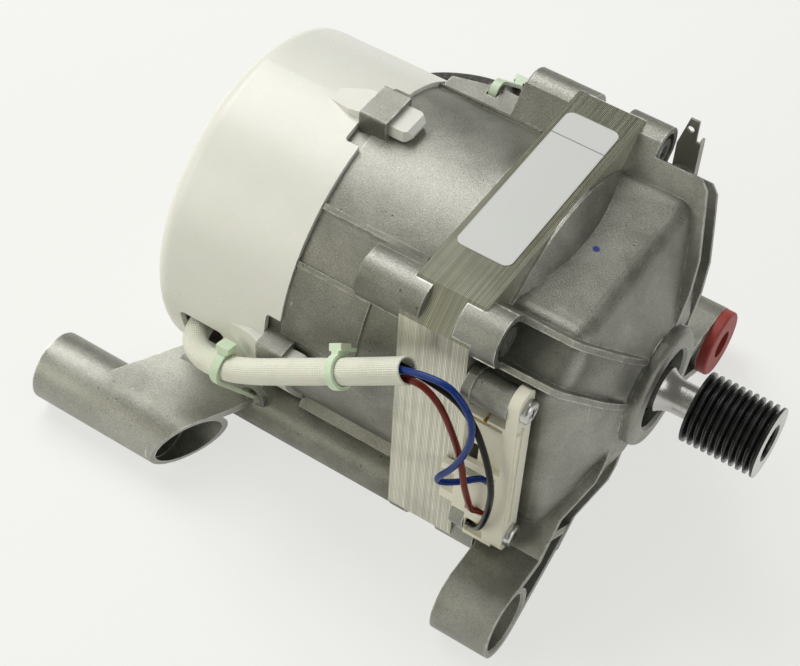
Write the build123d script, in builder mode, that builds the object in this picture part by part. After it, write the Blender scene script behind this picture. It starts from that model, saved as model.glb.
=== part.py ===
from build123d import *
import os
from math import acos, atan2, cos, degrees, pi, radians, sin, sqrt, tan

# Washing machine motor: an enclosed permanent magnet machine with a belt pulley.
# The shaft lies along X with the pulley at +X. Z is up and Y runs away from the
# lead side. The origin is under the middle of the whole, level with the lowest
# point of the mounting barrels.

# Reach along the shaft
stack_length = 23.4
pulley_reach = 76.0
rear_reach = 125.1
overall_length = rear_reach + stack_length + pulley_reach
stack_rear = rear_reach - overall_length / 2
stack_front = stack_rear + stack_length
stack_middle = (stack_rear + stack_front) / 2

# Mounting barrels, placed from the corner bolts
stack_half = 55.0
corner_cut = 9.0
bolt_offset = stack_half - corner_cut
lug_out = 23.5
lug_down = 5.8
lug_spread = bolt_offset + lug_out
lug_drop = bolt_offset + lug_down
lug_radius = 12.3
lug_bore = 10.0
lug_edge = 0.8
axis_height = lug_drop + lug_radius

# General fits
overrun = 5.0
seat_gap = 0.02
running_gap = 0.4
thread_gap = 0.05
cast_round = 1.2

# Slots and teeth of the stack
bore_radius = 27.5
tooth_count = 12
tooth_width = 7.0
tooth_tip = 2.5
slot_mouth = 2.6
slot_depth = 12.0
slot_floor = bore_radius + slot_depth

# Through bolts
bolt_radius = 2.5
bolt_clear = 0.3
bolt_seat = 4.0
bolt_head_radius = 4.6
bolt_head_height = 3.5
bolt_socket_radius = 2.3
bolt_socket_depth = 2.0
bolt_depth = 14.0
bolt_reach = sqrt(2) * bolt_offset
bolt_places = [(y * bolt_offset, z * bolt_offset) for y, z in ((-1, 1), (-1, -1), (1, -1), (1, 1))]

# Corner bosses of both shields
boss_radius = 8.4
boss_wall = 2.0
front_lap = 6.1
rear_lap = 5.8
lap_gap = 0.1
front_boss_length = 7.8
rear_boss_length = 16.4

# Front shield
dome_flat = bolt_offset
dome_corner = 14.5
dome_flat_half = dome_flat - dome_corner
dome_depth = 25.0
dome_corner_round = 5.0
dome_crest_round = 6.0
dome_wall = 3.5
skirt_proud = 0.6
skirt_radius = stack_half + skirt_proud
skirt_land = 1.0
skirt_length = 6.5
facet_depth = 35.9
facet_radius = 20.0
nose_radius = 20.06
nose_front = 40.1
nose_round = 2.2
nose_hole = 13.5
nose_edge = 1.0
hub_radius = 21.0
fin_height = 8.0
fin_front = 36.4
dome_crest = stack_front + dome_depth
facet_end = stack_front + facet_depth
nose_face = stack_front + nose_front
corner_floor = (dome_flat + dome_flat_half) / sqrt(2)
fin_top = corner_floor + fin_height
front_boss_end = stack_front + front_boss_length

# Fin outline: shares of the run from the boss to the nose, and of the fin's top
fin_shares = [(0.566, 1.0), (0.666, 0.960), (0.776, 0.825), (0.917, 0.645), (0.976, 0.494), (1.0, 0.318)]
arm_fin_shares = [(0.783, 0.99), (0.793, 0.796), (0.952, 0.551), (0.962, 0.467), (0.931, 0.271)]
fin_root_shares = [(0.80, 0.318), (0.50, 0.80), (-0.10, 0.80)]

# Front arms and barrels
arm_wall = 3.0
arm_web = 4.0
arm_rear = 6.9
front_lug_rear = 10.0
front_lug_front = 30.1
arm_in = 16.0
arm_up = 2.0
arm_low_y = bolt_offset - arm_in
arm_low_z = bolt_offset - arm_up

# Front bearing, 15 x 35 x 11
front_bearing_start = 24.9
front_bearing_bore = 7.5
front_bearing_outside = 17.5
front_bearing_width = 11.0
front_ball_count = 8
front_pitch = 12.5

# Rear bearing, 12 x 32 x 10
rear_bearing_start = 38.2
rear_bearing_bore = 6.0
rear_bearing_outside = 16.0
rear_bearing_width = 10.0
rear_ball_count = 7
rear_pitch = 11.0

# Both bearings
ball_radius = 2.97
race_gap = 0.08
race_depth = 1.0
seal_thickness = 0.8
seal_inset = 0.4
seal_gap = 0.3
cage_height = 2.3
cage_half_width = 3.4
ring_edge = 0.5

# Rear shield
drum_radius = stack_half
drum_wall = 3.5
drum_length = 41.5
spigot_step = 0.8
spigot_radius = drum_radius - spigot_step
end_wall_front = 49.7
end_wall = 3.5
pocket_front = 37.2
rear_hub_radius = 20.5
rear_hole = 9.0
drum_end = stack_rear - drum_length
spigot_end = stack_rear - end_wall_front - end_wall

# Drum details
rib_angles = (54.5, 35.0)
rib_lengths = (37.0, 26.0)
rib_width = 1.8
rib_height = 1.1
pad_start_angle = 9.0
pad_height = 0.7
pad_front = 15.2
shelf_drop = 1.5
shelf_height = bolt_offset - shelf_drop
shelf_thickness = 3.0
shelf_width = 11.3
shelf_taper = 4.2
shelf_setback = 3.2
shelf_outer = bolt_offset - shelf_setback
shelf_inner = shelf_outer - shelf_width
shelf_rear_width = shelf_outer - shelf_taper
shelf_front = 13.0
shelf_rear = 41.2
shelf_lug_place = 26.4
shelf_lug_radius = 3.0
shelf_lug_out = 1.8
shelf_hole_in = 3.8
shelf_lug_reach = shelf_outer + shelf_lug_out
shelf_hole_y = shelf_outer - shelf_hole_in
shelf_hole_width = 2.2
shelf_hole_length = 3.8

# Hooks on the drum and tongues on the hood
hook_angles = (0, 90, 180)
hook_start = 36.7
hook_length = 9.6
hook_width = 14.4
hook_rise = 6.6
hook_top = drum_radius + hook_rise
hook_roof = 1.6
hook_leg = 1.5
hook_gap = 0.4
hook_floor = drum_radius + hook_gap
tongue_gap = 0.25
tongue_tip = 29.2
tongue_start = 62.2
tongue_width = 10.6
tongue_root_width = 4.0
notch_width = 27.6
notch_depth = 5.2
notch_round = 1.2

# Hood
hood_step = 1.6
hood_radius = drum_radius + hood_step
hood_wall = 2.0
hood_length = 48.8
hood_round = 6.0
hood_draft = 0.3
hood_clear = 0.4
hood_start = drum_end - running_gap / 2
hood_end = hood_start - hood_length
window_front = 63.2
window_rear = 80.2
window_low_angle = 28.0
window_high_angle = 6.0
far_window_front = 56.5
far_window_rear = 72.0
far_window_low_angle = 9.5
far_window_high_angle = 25.5
window_round = 2.0

# Lower corner tubes, rear arms and rear barrels
tube_radius = 8.1
tube_end = 86.0
tube_web = 11.0
plate_thickness = 4.0
plate_rib = 3.0
plate_rib_depth = 9.0
plate_front_y = bolt_offset
plate_front_x = 53.0
plate_in = 2.0
plate_rear_y = plate_front_y - plate_in
plate_rear_x = 88.0
lug_front_x = 65.7
lug_rear_x = 102.4
lug_front_lean = 0.26
rear_seat_depth = 47.8
lug_mouth = 10.5

# Cast loop for the first tie
loop_place = 55.8
loop_out = 4.5
loop_up = 8.5
loop_y = bolt_offset + loop_out
loop_z = bolt_offset - loop_up
loop_radius = 4.6
loop_wire = 1.9
loop_width = 2.4

# Connector and its pillars
pillar_in = 1.8
pillar_y = stack_half - pillar_in
pillar_z = 30.8
pillar_radius = 5.4
pillar_end = 15.6
pillar_start = 0.6
pillar_step = 0.5
pillar_collar = 3.0
pillar_web = 7.0
low_pillar_end = 5.6

# Terminal block
flange_thickness = 3.6
flange_out = 2.7
flange_width = 9.0
flange_outer = stack_half + flange_out
flange_inner = flange_outer - flange_width
flange_low = 37.6
flange_high = 37.7
flange_rib_width = 3.4
flange_rib_height = 0.8
flange_rib_groove = 1.2
block_width = 9.5
block_inner = flange_outer - block_width
block_low = 36.2
block_high = 23.6
block_rear = 0.8
block_recess = 2.2
block_recess_low = 0.5
block_recess_high = 19.2
block_recess_rear = 2.6
finger_gap = 0.35
finger_reach = 3.8
finger_high = 6.6
finger_low = 24.0
upper_finger_low = 9.6
lower_finger_high = 19.8
channel_depth = 2.35
channel_end = 12.4
middle_channel_start = 5.5
low_channel_start = 6.2
channel_heights = (-4.7, -21.6, -31.2)
channel_halves = (1.8, 1.8, 3.4)
strip_height = 21.6
strip_start = 3.9
strip_end = 14.8
strip_depth = 2.4
strip_slot = 1.6
strip_window = 10.6
strip_window_depth = 5.0
strip_notch = 1.3
strip_notch_place = 9.0
pin_hole = 1.3
pin_hole_place = 13.9
pin_hole_depth = 1.5
pin_hole_heights = (-2.5, -11.6, -15.7)
contact_thickness = 0.4
contact_half = 1.2
contact_length = 5.0

# Terminal screws
terminal_shank = 1.6
terminal_head = 3.9
terminal_head_height = 2.3
terminal_screw_length = 9.0
cross_width = 0.9
cross_length = 4.2
cross_depth = 1.1
terminal_screw_low = 31.5

# Earth tab
earth_out = 1.0
earth_y = stack_half + earth_out
earth_thickness = 0.8
earth_start = 7.4
earth_end = 15.2
earth_low = 25.0
earth_high = 54.0
earth_shoulder = 45.5
earth_tip = 1.6
earth_hole = 1.2
earth_hole_height = 49.8
earth_fold = 3.4
earth_boss_z = 30.0
earth_boss_radius = 4.4
earth_screw_radius = 1.9
earth_screw_head = 3.0
earth_screw_head_height = 2.2
earth_screw_depth = 7.0

# Red bush in the far front barrel
bush_hole = 5.1
bush_flange = 12.1
bush_flange_thickness = 3.8
bush_round = 0.9

# Shaft
stub_radius = 5.0
rotor_seat = 8.0
front_shoulder = 8.75
front_tip = 5.5
stub_end = 70.0
rotor_seat_rear = 5.5
rotor_seat_front = 5.5
flare_length = 5.3
shaft_recess = 8.0

# Pulley
pulley_start = 51.4
groove_count = 10
groove_pitch = 2.34
pulley_crest = 11.7
groove_depth = 2.0
groove_root = 0.36
groove_crest = 0.5
pulley_lip = 0.8
pulley_recess = 5.5

# Rotor
air_gap = 0.6
magnet_count = 8
magnet_width = 14.0
magnet_thickness = 4.0
magnet_setback = 6.1
magnet_place = bore_radius - magnet_setback
magnet_gap = 0.1
end_plate_setback = 1.9
end_plate_radius = bore_radius - end_plate_setback
end_plate_thickness = 1.5
sensor_ring_radius = 11.0
sensor_ring_start = 60.0
sensor_ring_length = 7.0
clip_radius = 7.6
clip_thickness = 1.0
clip_slot = 3.0

# Coils and end insulators
coil_setoff = 2.7
coil_inner = bore_radius + coil_setoff
coil_setback = 2.1
coil_outer = slot_floor - coil_setback
coil_side = 3.5
coil_gap = 0.3
coil_round = 2.0
insulator_plate = 1.2
insulator_setoff = 0.4
insulator_inner = bore_radius + insulator_setoff
insulator_lip = 1.7
insulator_rim = 1.2
insulator_land = 1.4
insulator_outer = slot_floor + insulator_land
insulator_lip_height = 7.0
insulator_rim_height = 9.0

# Wave washer
washer_inner = 12.4
washer_thickness = 0.4

# Sensor board on its posts
post_radius = 3.0
post_count = 3
post_circle = 34.0
post_length = 9.0
board_radius = 39.0
board_hole = 16.0
board_thickness = 1.6
sensor_size = 4.0
sensor_thickness = 1.6
sensor_circle = 19.5
board_screw_radius = 1.2
board_screw_head = 2.6
board_screw_head_height = 1.8

# Rating label
label_front = 3.0
label_width = 18.5
label_near = 30.0
label_far = 36.3
label_round = 3.0
label_thickness = 0.25

# Cords
sleeve_radius = 4.25
lead_radius = 1.05
cable_radius = 3.3
sleeve_wall = 0.7
cord_share = 0.45

# Ties
tie_width = 2.8
tie_thickness = 1.1
tie_gap = 0.15
tie_head = 4.6
tie_head_height = 3.4
tie_tail = 3.5
tie_lean_reach = 2.5
rear_head_turn = 75
front_head_turn = 45
far_head_turn = 20
front_tie_place = 36.6
route_steps = 400
near_side = -1
far_side = 1

# Plug at the end of the far cable
plug_place = 12.0
plug_out = 7.5
plug_y = drum_radius + plug_out
plug_z = -8.0
plug_width = 9.0
plug_depth = 7.0
plug_height = 15.0
plug_round = 0.8
cradle_wall = 1.6
cradle_height = 6.0
cradle_gap = 0.05

plug_x = stack_rear - plug_place

os.makedirs("parts", exist_ok=True)
spin_axis = Axis((0, 0, axis_height), (1, 0, 0))


def across(x):
    """Plane square to the shaft: local x runs along Y and local y goes up."""
    return Plane(origin=(x, 0, axis_height), x_dir=(0, 1, 0), z_dir=(1, 0, 0))


def beside(y):
    """Upright plane along the shaft: local x runs along X, normal towards -Y."""
    return Plane(origin=(0, y, axis_height), x_dir=(1, 0, 0), z_dir=(0, -1, 0))


def outline(plane, points, rounding=0):
    """Face with straight sides through the points, its corners rounded alike."""
    with BuildSketch(plane) as face:
        with BuildLine():
            if rounding > 0:
                FilletPolyline(*points, radius=rounding, close=True)
            else:
                Polyline(*points, close=True)
        make_face()
    return face.sketch


def turned(points, mode=Mode.ADD):
    """Turn an outline of (station, radius) points about the shaft line."""
    revolve(outline(beside(0), points), axis=spin_axis, mode=mode)


def finish(piece, name):
    """Label a piece and write it."""
    piece.part.label = name
    export_step(piece.part, "parts/" + name + ".step")


# Outlines shared by several pieces
with BuildSketch() as stack_outline:
    Rectangle(2 * stack_half, 2 * stack_half)
    chamfer(stack_outline.vertices(), length=corner_cut)

with BuildSketch() as dome_outline:
    Rectangle(2 * dome_flat, 2 * dome_flat)
    chamfer(dome_outline.vertices(), length=dome_flat - dome_flat_half)
    fillet(dome_outline.vertices(), radius=dome_corner_round)

# Laminated stack with twelve teeth
with BuildPart() as stator_core:
    with BuildSketch(across(stack_rear)):
        add(stack_outline.sketch)
        Circle(slot_floor, mode=Mode.SUBTRACT)
        Circle(bore_radius + tooth_tip)
        with PolarLocations((bore_radius + slot_floor) / 2, tooth_count):
            Rectangle(slot_floor - bore_radius + tooth_tip, tooth_width)
        Circle(bore_radius, mode=Mode.SUBTRACT)
        with PolarLocations(bore_radius + tooth_tip / 2, tooth_count, start_angle=180 / tooth_count):
            Rectangle(2 * tooth_tip, slot_mouth, mode=Mode.SUBTRACT)
        with Locations(*bolt_places):
            Circle(bolt_radius + bolt_clear, mode=Mode.SUBTRACT)
    extrude(amount=stack_length)
finish(stator_core, "stator_core")


# End insulators: a plate under the coil heads, an inner lip and an outer rim
def end_insulator(face_x, side):
    """Moulded end insulator on one end of the stack."""
    with BuildPart() as insulator:
        with BuildSketch(across(face_x)):
            Circle(insulator_outer)
            Circle(slot_floor - insulator_rim, mode=Mode.SUBTRACT)
            with PolarLocations((insulator_inner + slot_floor) / 2, tooth_count):
                Rectangle(slot_floor - insulator_inner, tooth_width)
            Circle(insulator_inner, mode=Mode.SUBTRACT)
        extrude(amount=side * insulator_plate)
        with BuildSketch(across(face_x)):
            Circle(insulator_inner + insulator_lip)
            Circle(insulator_inner, mode=Mode.SUBTRACT)
            with PolarLocations(insulator_inner, tooth_count, start_angle=180 / tooth_count):
                Rectangle(2 * insulator_lip + tooth_tip, slot_mouth, mode=Mode.SUBTRACT)
        extrude(amount=side * insulator_lip_height)
        with BuildSketch(across(face_x)):
            Circle(insulator_outer)
            Circle(insulator_outer - insulator_rim, mode=Mode.SUBTRACT)
        extrude(amount=side * insulator_rim_height)
    return insulator


front_insulator = end_insulator(stack_front, 1)
finish(front_insulator, "front_insulator")
rear_insulator = end_insulator(stack_rear, -1)
finish(rear_insulator, "rear_insulator")


# Four coils of one phase, each on its own tooth
def phase_winding(first_tooth):
    """Four coils a quarter turn apart, starting at one tooth."""
    inner_length = stack_length + 2 * insulator_plate
    inner_width = tooth_width + 2 * coil_gap
    with BuildPart() as winding:
        for quarter in range(4):
            turn = radians(90 * quarter + first_tooth * 360 / tooth_count)
            outward = Vector(0, cos(turn), sin(turn))
            seat = Vector(stack_middle, 0, axis_height) + outward * coil_inner
            with BuildSketch(Plane(origin=seat, x_dir=(1, 0, 0), z_dir=outward)):
                RectangleRounded(inner_length + 2 * coil_side, inner_width + 2 * coil_side, coil_round)
                Rectangle(inner_length, inner_width, mode=Mode.SUBTRACT)
            extrude(amount=coil_outer - coil_inner)
    return winding


for phase, phase_name in enumerate(("winding_u", "winding_v", "winding_w")):
    finish(phase_winding(phase), phase_name)


# Fin beside one corner diagonal, standing on the dome
def fin_face(corner_angle, side, shares):
    """Outline of one fin on the plane of its inner face."""
    turn = radians(corner_angle)
    sideways = Vector(0, -sin(turn), cos(turn))
    near_face = boss_radius - boss_wall if side > 0 else -boss_radius
    place = Vector(0, 0, axis_height) + sideways * near_face
    run = stack_front + fin_front - front_boss_end
    points = [(front_boss_end - boss_wall, fin_top)]
    points += [(front_boss_end + run * x, fin_top * rho) for x, rho in shares]
    points += [(front_boss_end + run * x, fin_top * rho) for x, rho in fin_root_shares]
    return outline(Plane(origin=place, x_dir=(1, 0, 0), z_dir=sideways), points)


# Front arm: a channel open to the front, from the lower corner to the barrel
lug_top = lug_drop - lug_radius
tangent_turn = atan2(lug_drop - arm_low_z, lug_spread - arm_low_y) - acos(
    lug_radius / sqrt((lug_spread - arm_low_y) ** 2 + (lug_drop - arm_low_z) ** 2)
)
tangent_y = lug_spread - lug_radius * cos(tangent_turn)
tangent_z = lug_drop - lug_radius * sin(tangent_turn)
wall_shift = boss_radius / sqrt(2)
arm_bend = lug_top + 2 * wall_shift
arm_start = corner_floor / sqrt(2)


def arm_outline(side, shrink=0):
    """Section of a front arm and its barrel, or the pocket inside its walls."""
    with BuildSketch() as section:
        with BuildLine():
            Polyline(
                (side * arm_low_y, -arm_low_z),
                (side * tangent_y, -tangent_z),
                (side * lug_spread, -lug_drop),
                (side * lug_spread, -lug_top),
                (side * arm_bend, -lug_top),
                (side * (arm_start + wall_shift), -(arm_start - wall_shift)),
                close=True,
            )
        make_face()
        with Locations((side * lug_spread, -lug_drop)):
            Circle(lug_radius)
        if shrink > 0:
            offset(amount=-shrink, kind=Kind.INTERSECTION)
            with Locations((side * lug_spread, -lug_drop)):
                Circle(lug_radius, mode=Mode.SUBTRACT)
    return section.sketch


facet_slope = atan2(facet_depth - dome_depth, dome_flat - facet_radius)
inner_crest = dome_crest - dome_wall * (1 - sin(facet_slope)) / cos(facet_slope)
inner_share = nose_radius / dome_flat
inner_flat = dome_flat - dome_wall
inner_end = inner_crest + (inner_flat - inner_flat * inner_share) * tan(facet_slope)
front_bearing_rear = stack_front + front_bearing_start
front_pocket_end = front_bearing_rear + front_bearing_width

with BuildPart() as front_shield:
    # Dome with eight flats, sloping in to the nose
    with BuildSketch(across(stack_front)):
        add(dome_outline.sketch)
    extrude(amount=dome_depth)
    with BuildSketch(across(dome_crest)):
        add(dome_outline.sketch)
    with BuildSketch(across(facet_end)):
        add(scale(dome_outline.sketch, by=facet_radius / dome_flat, mode=Mode.PRIVATE))
    loft(ruled=True)
    crest_edges = front_shield.edges().filter_by_position(Axis.X, dome_crest - seat_gap, dome_crest + seat_gap)
    fillet(crest_edges, radius=dome_crest_round)
    # Round foot against the stack
    turned([
        (stack_front, 0),
        (stack_front, skirt_radius),
        (stack_front + skirt_land, skirt_radius),
        (stack_front + skirt_length, dome_flat),
        (stack_front + skirt_length, 0),
    ])
    # Arms and front barrels
    for side in (-1, 1):
        with BuildSketch(across(stack_front + arm_rear)) as arm_back:
            add(arm_outline(side))
        extrude(amount=arm_web)
        with BuildSketch(across(stack_front + arm_rear)) as arm_walls:
            add(arm_outline(side))
            add(arm_outline(side, arm_wall), mode=Mode.SUBTRACT)
        extrude(amount=front_lug_front - arm_rear)
        with BuildSketch(Plane.XY):
            with BuildLine():
                Polyline(
                    (stack_front + arm_rear, side * (dome_flat + overrun)),
                    (stack_front + front_lug_rear, side * (lug_spread - lug_radius)),
                    (stack_front + front_lug_rear, side * (lug_spread + lug_radius + overrun)),
                    (stack_front, side * (lug_spread + lug_radius + overrun)),
                    (stack_front, side * (dome_flat + overrun)),
                    close=True,
                )
            make_face()
        extrude(amount=axis_height - lug_top + overrun, mode=Mode.SUBTRACT)
    # Corner bosses, each with a seat for the bolt's head inside its arch
    with BuildSketch(across(stack_front)):
        with PolarLocations(bolt_reach, 4, start_angle=45):
            Circle(boss_radius)
        with PolarLocations((corner_floor + bolt_reach) / 2, 4, start_angle=45):
            Rectangle(bolt_reach - corner_floor + overrun, 2 * boss_radius)
    extrude(amount=front_boss_length)
    with BuildSketch(across(stack_front + bolt_seat)):
        with PolarLocations(bolt_reach, 4, start_angle=45):
            Circle(boss_radius - boss_wall)
        with PolarLocations((corner_floor + bolt_reach) / 2, 4, start_angle=45):
            Rectangle(bolt_reach - corner_floor, 2 * (boss_radius - boss_wall))
    extrude(amount=front_boss_length, mode=Mode.SUBTRACT)
    with BuildSketch(across(stack_front)):
        with PolarLocations(bolt_reach, 4, start_angle=45):
            Circle(boss_radius)
        offset(stack_outline.sketch, amount=lap_gap, kind=Kind.INTERSECTION, mode=Mode.SUBTRACT)
    extrude(amount=-front_lap)
    # Fins in pairs; the lower ones run on into the arms
    for corner_angle in (45, 135, 225, 315):
        shares = fin_shares if corner_angle < 180 else arm_fin_shares
        extrude(fin_face(corner_angle, 1, shares), amount=boss_wall)
        extrude(fin_face(corner_angle, -1, shares), amount=boss_wall)
    # Pillars for the connector, each on a web from the dome's side
    for height, end in ((pillar_z, pillar_end), (-terminal_screw_low, low_pillar_end)):
        with BuildSketch(across(stack_front + pillar_start)):
            with Locations((-pillar_y, height)):
                Circle(pillar_radius)
            with Locations((-(pillar_y + dome_flat) / 2, height)):
                Rectangle(pillar_y - dome_flat + dome_wall, pillar_web)
        extrude(amount=end - pillar_start)
    with BuildSketch(across(stack_front + pillar_start)):
        with Locations((-pillar_y, pillar_z)):
            Circle(pillar_radius + pillar_step)
    extrude(amount=pillar_collar)
    # Boss for the earth tab on the far side
    with BuildSketch(beside(earth_y - seat_gap)):
        with Locations(((2 * stack_front + earth_start + earth_end) / 2, earth_boss_z)):
            Circle(earth_boss_radius)
    extrude(amount=earth_y - dome_flat + dome_wall)
    # Hollow inside, then the hub and the nose
    with BuildSketch(across(stack_front)) as cavity_outline:
        offset(dome_outline.sketch, amount=-dome_wall)
    extrude(amount=inner_crest - stack_front, mode=Mode.SUBTRACT)
    with BuildSketch(across(inner_crest)):
        offset(dome_outline.sketch, amount=-dome_wall)
    with BuildSketch(across(inner_end)):
        add(scale(offset(dome_outline.sketch, amount=-dome_wall, mode=Mode.PRIVATE), by=inner_share,
                  mode=Mode.PRIVATE))
    loft(ruled=True, mode=Mode.SUBTRACT)
    turned([
        (front_bearing_rear, front_bearing_outside),
        (front_bearing_rear, hub_radius),
        (facet_end, hub_radius),
        (facet_end, nose_radius),
        (nose_face, nose_radius),
        (nose_face, nose_hole),
        (front_pocket_end, nose_hole),
    ])
    nose_rim = front_shield.edges().filter_by(GeomType.CIRCLE).filter_by_position(
        Axis.X, nose_face - seat_gap, nose_face + seat_gap).sort_by(SortBy.RADIUS)[-1]
    fillet(nose_rim, radius=nose_round)
    turned([
        (front_bearing_rear - overrun, 0),
        (front_bearing_rear - overrun, front_bearing_outside + seat_gap),
        (front_pocket_end, front_bearing_outside + seat_gap),
        (front_pocket_end, nose_hole),
        (nose_face - nose_edge, nose_hole),
        (nose_face, nose_hole + nose_edge),
        (nose_face, 0),
    ], mode=Mode.SUBTRACT)
    # Bolt holes, barrel bores and screw holes
    with BuildSketch(across(stack_front - front_lap)):
        with Locations(*bolt_places):
            Circle(bolt_radius + bolt_clear)
    extrude(amount=front_lap + front_boss_length, mode=Mode.SUBTRACT)
    for side in (-1, 1):
        with BuildSketch(across(stack_front)):
            with Locations((side * lug_spread, -lug_drop)):
                Circle(lug_bore)
        extrude(amount=front_lug_front + overrun, mode=Mode.SUBTRACT)
        bore_rims = front_shield.edges().filter_by(GeomType.CIRCLE).filter_by(
            lambda rim, at=side * lug_spread: abs(rim.arc_center.Y - at) < seat_gap
            and abs(rim.radius - lug_bore) < seat_gap)
        chamfer(bore_rims, length=lug_edge)
    with BuildSketch(across(stack_front)):
        with Locations((-pillar_y, pillar_z), (-pillar_y, -terminal_screw_low)):
            Circle(terminal_shank + thread_gap)
    extrude(amount=pillar_end + overrun, mode=Mode.SUBTRACT)
    with BuildSketch(beside(earth_y)):
        with Locations(((2 * stack_front + earth_start + earth_end) / 2, earth_boss_z)):
            Circle(earth_screw_radius + thread_gap)
    extrude(amount=earth_screw_depth, mode=Mode.SUBTRACT)
finish(front_shield, "front_shield")

# Through bolts with sunk hexagon sockets
with BuildPart() as through_bolts:
    seat = stack_front + bolt_seat
    with BuildSketch(across(seat)):
        with Locations(*bolt_places):
            Circle(bolt_head_radius)
    extrude(amount=bolt_head_height)
    with BuildSketch(across(seat)):
        with Locations(*bolt_places):
            Circle(bolt_radius)
    extrude(amount=-(bolt_seat + stack_length + bolt_depth))
    with BuildSketch(across(seat + bolt_head_height)):
        with Locations(*bolt_places):
            RegularPolygon(bolt_socket_radius, 6)
    extrude(amount=-bolt_socket_depth, mode=Mode.SUBTRACT)
finish(through_bolts, "through_bolts")

# Rear arm: plate, barrel and a rib under the plate
plate_top = axis_height - lug_top


def rear_arm(side):
    """Rear arm of one side with its long mounting barrel."""
    rib_inner = stack_rear - (plate_front_x + plate_rear_x) / 2
    rib_outer = stack_rear - (lug_front_x + lug_rear_x) / 2
    with BuildPart() as arm:
        with BuildSketch(Plane.XY.offset(plate_top - plate_thickness)):
            with BuildLine():
                Polyline(
                    (stack_rear - plate_front_x, side * plate_front_y),
                    (stack_rear - lug_front_x, side * lug_spread),
                    (stack_rear - lug_rear_x, side * lug_spread),
                    (stack_rear - plate_rear_x, side * plate_rear_y),
                    close=True,
                )
            make_face()
        extrude(amount=plate_thickness)
        with BuildSketch(Plane.XY.offset(plate_top - plate_thickness - plate_rib_depth)):
            with BuildLine():
                Polyline(
                    (rib_inner, side * bolt_offset),
                    (rib_outer, side * lug_spread),
                    (rib_outer - plate_rib, side * lug_spread),
                    (rib_inner - plate_rib, side * bolt_offset),
                    close=True,
                )
            make_face()
        extrude(amount=plate_thickness + plate_rib_depth)
        with BuildSketch(across(stack_rear - rear_reach)):
            with Locations((side * lug_spread, -lug_drop)):
                Circle(lug_radius)
        extrude(amount=rear_reach - lug_front_x + lug_radius)
        # The front end is cut along the plate's slanted edge, leaning back below
        run = lug_front_x - plate_front_x
        rise = lug_spread - plate_front_y
        cut_place = (stack_rear - lug_front_x, side * lug_spread, plate_top)
        cut_along = Vector(run, -side * rise, 0).normalized()
        cut_normal = Vector(rise, side * run, -lug_front_lean * rise).normalized()
        with BuildSketch(Plane(origin=cut_place, x_dir=cut_along, z_dir=cut_normal)):
            Rectangle(4 * lug_spread, 4 * lug_spread)
        extrude(amount=lug_spread, mode=Mode.SUBTRACT)
        with BuildSketch(across(stack_rear - rear_reach)):
            with Locations((side * lug_spread, -lug_drop)):
                Circle(lug_bore)
        extrude(amount=rear_seat_depth, mode=Mode.SUBTRACT)
        # Wider mouth ahead of the seat, so a pressed bush ends short of the slanted edge
        with BuildSketch(across(stack_rear - rear_reach + rear_seat_depth)):
            with Locations((side * lug_spread, -lug_drop)):
                Circle(lug_mouth)
        extrude(amount=rear_reach - rear_seat_depth, mode=Mode.SUBTRACT)
        rear_rim = arm.edges().filter_by(GeomType.CIRCLE).group_by(Axis.X)[0].sort_by(SortBy.RADIUS)[0]
        chamfer(rear_rim, length=lug_edge)
    return arm.part


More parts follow.
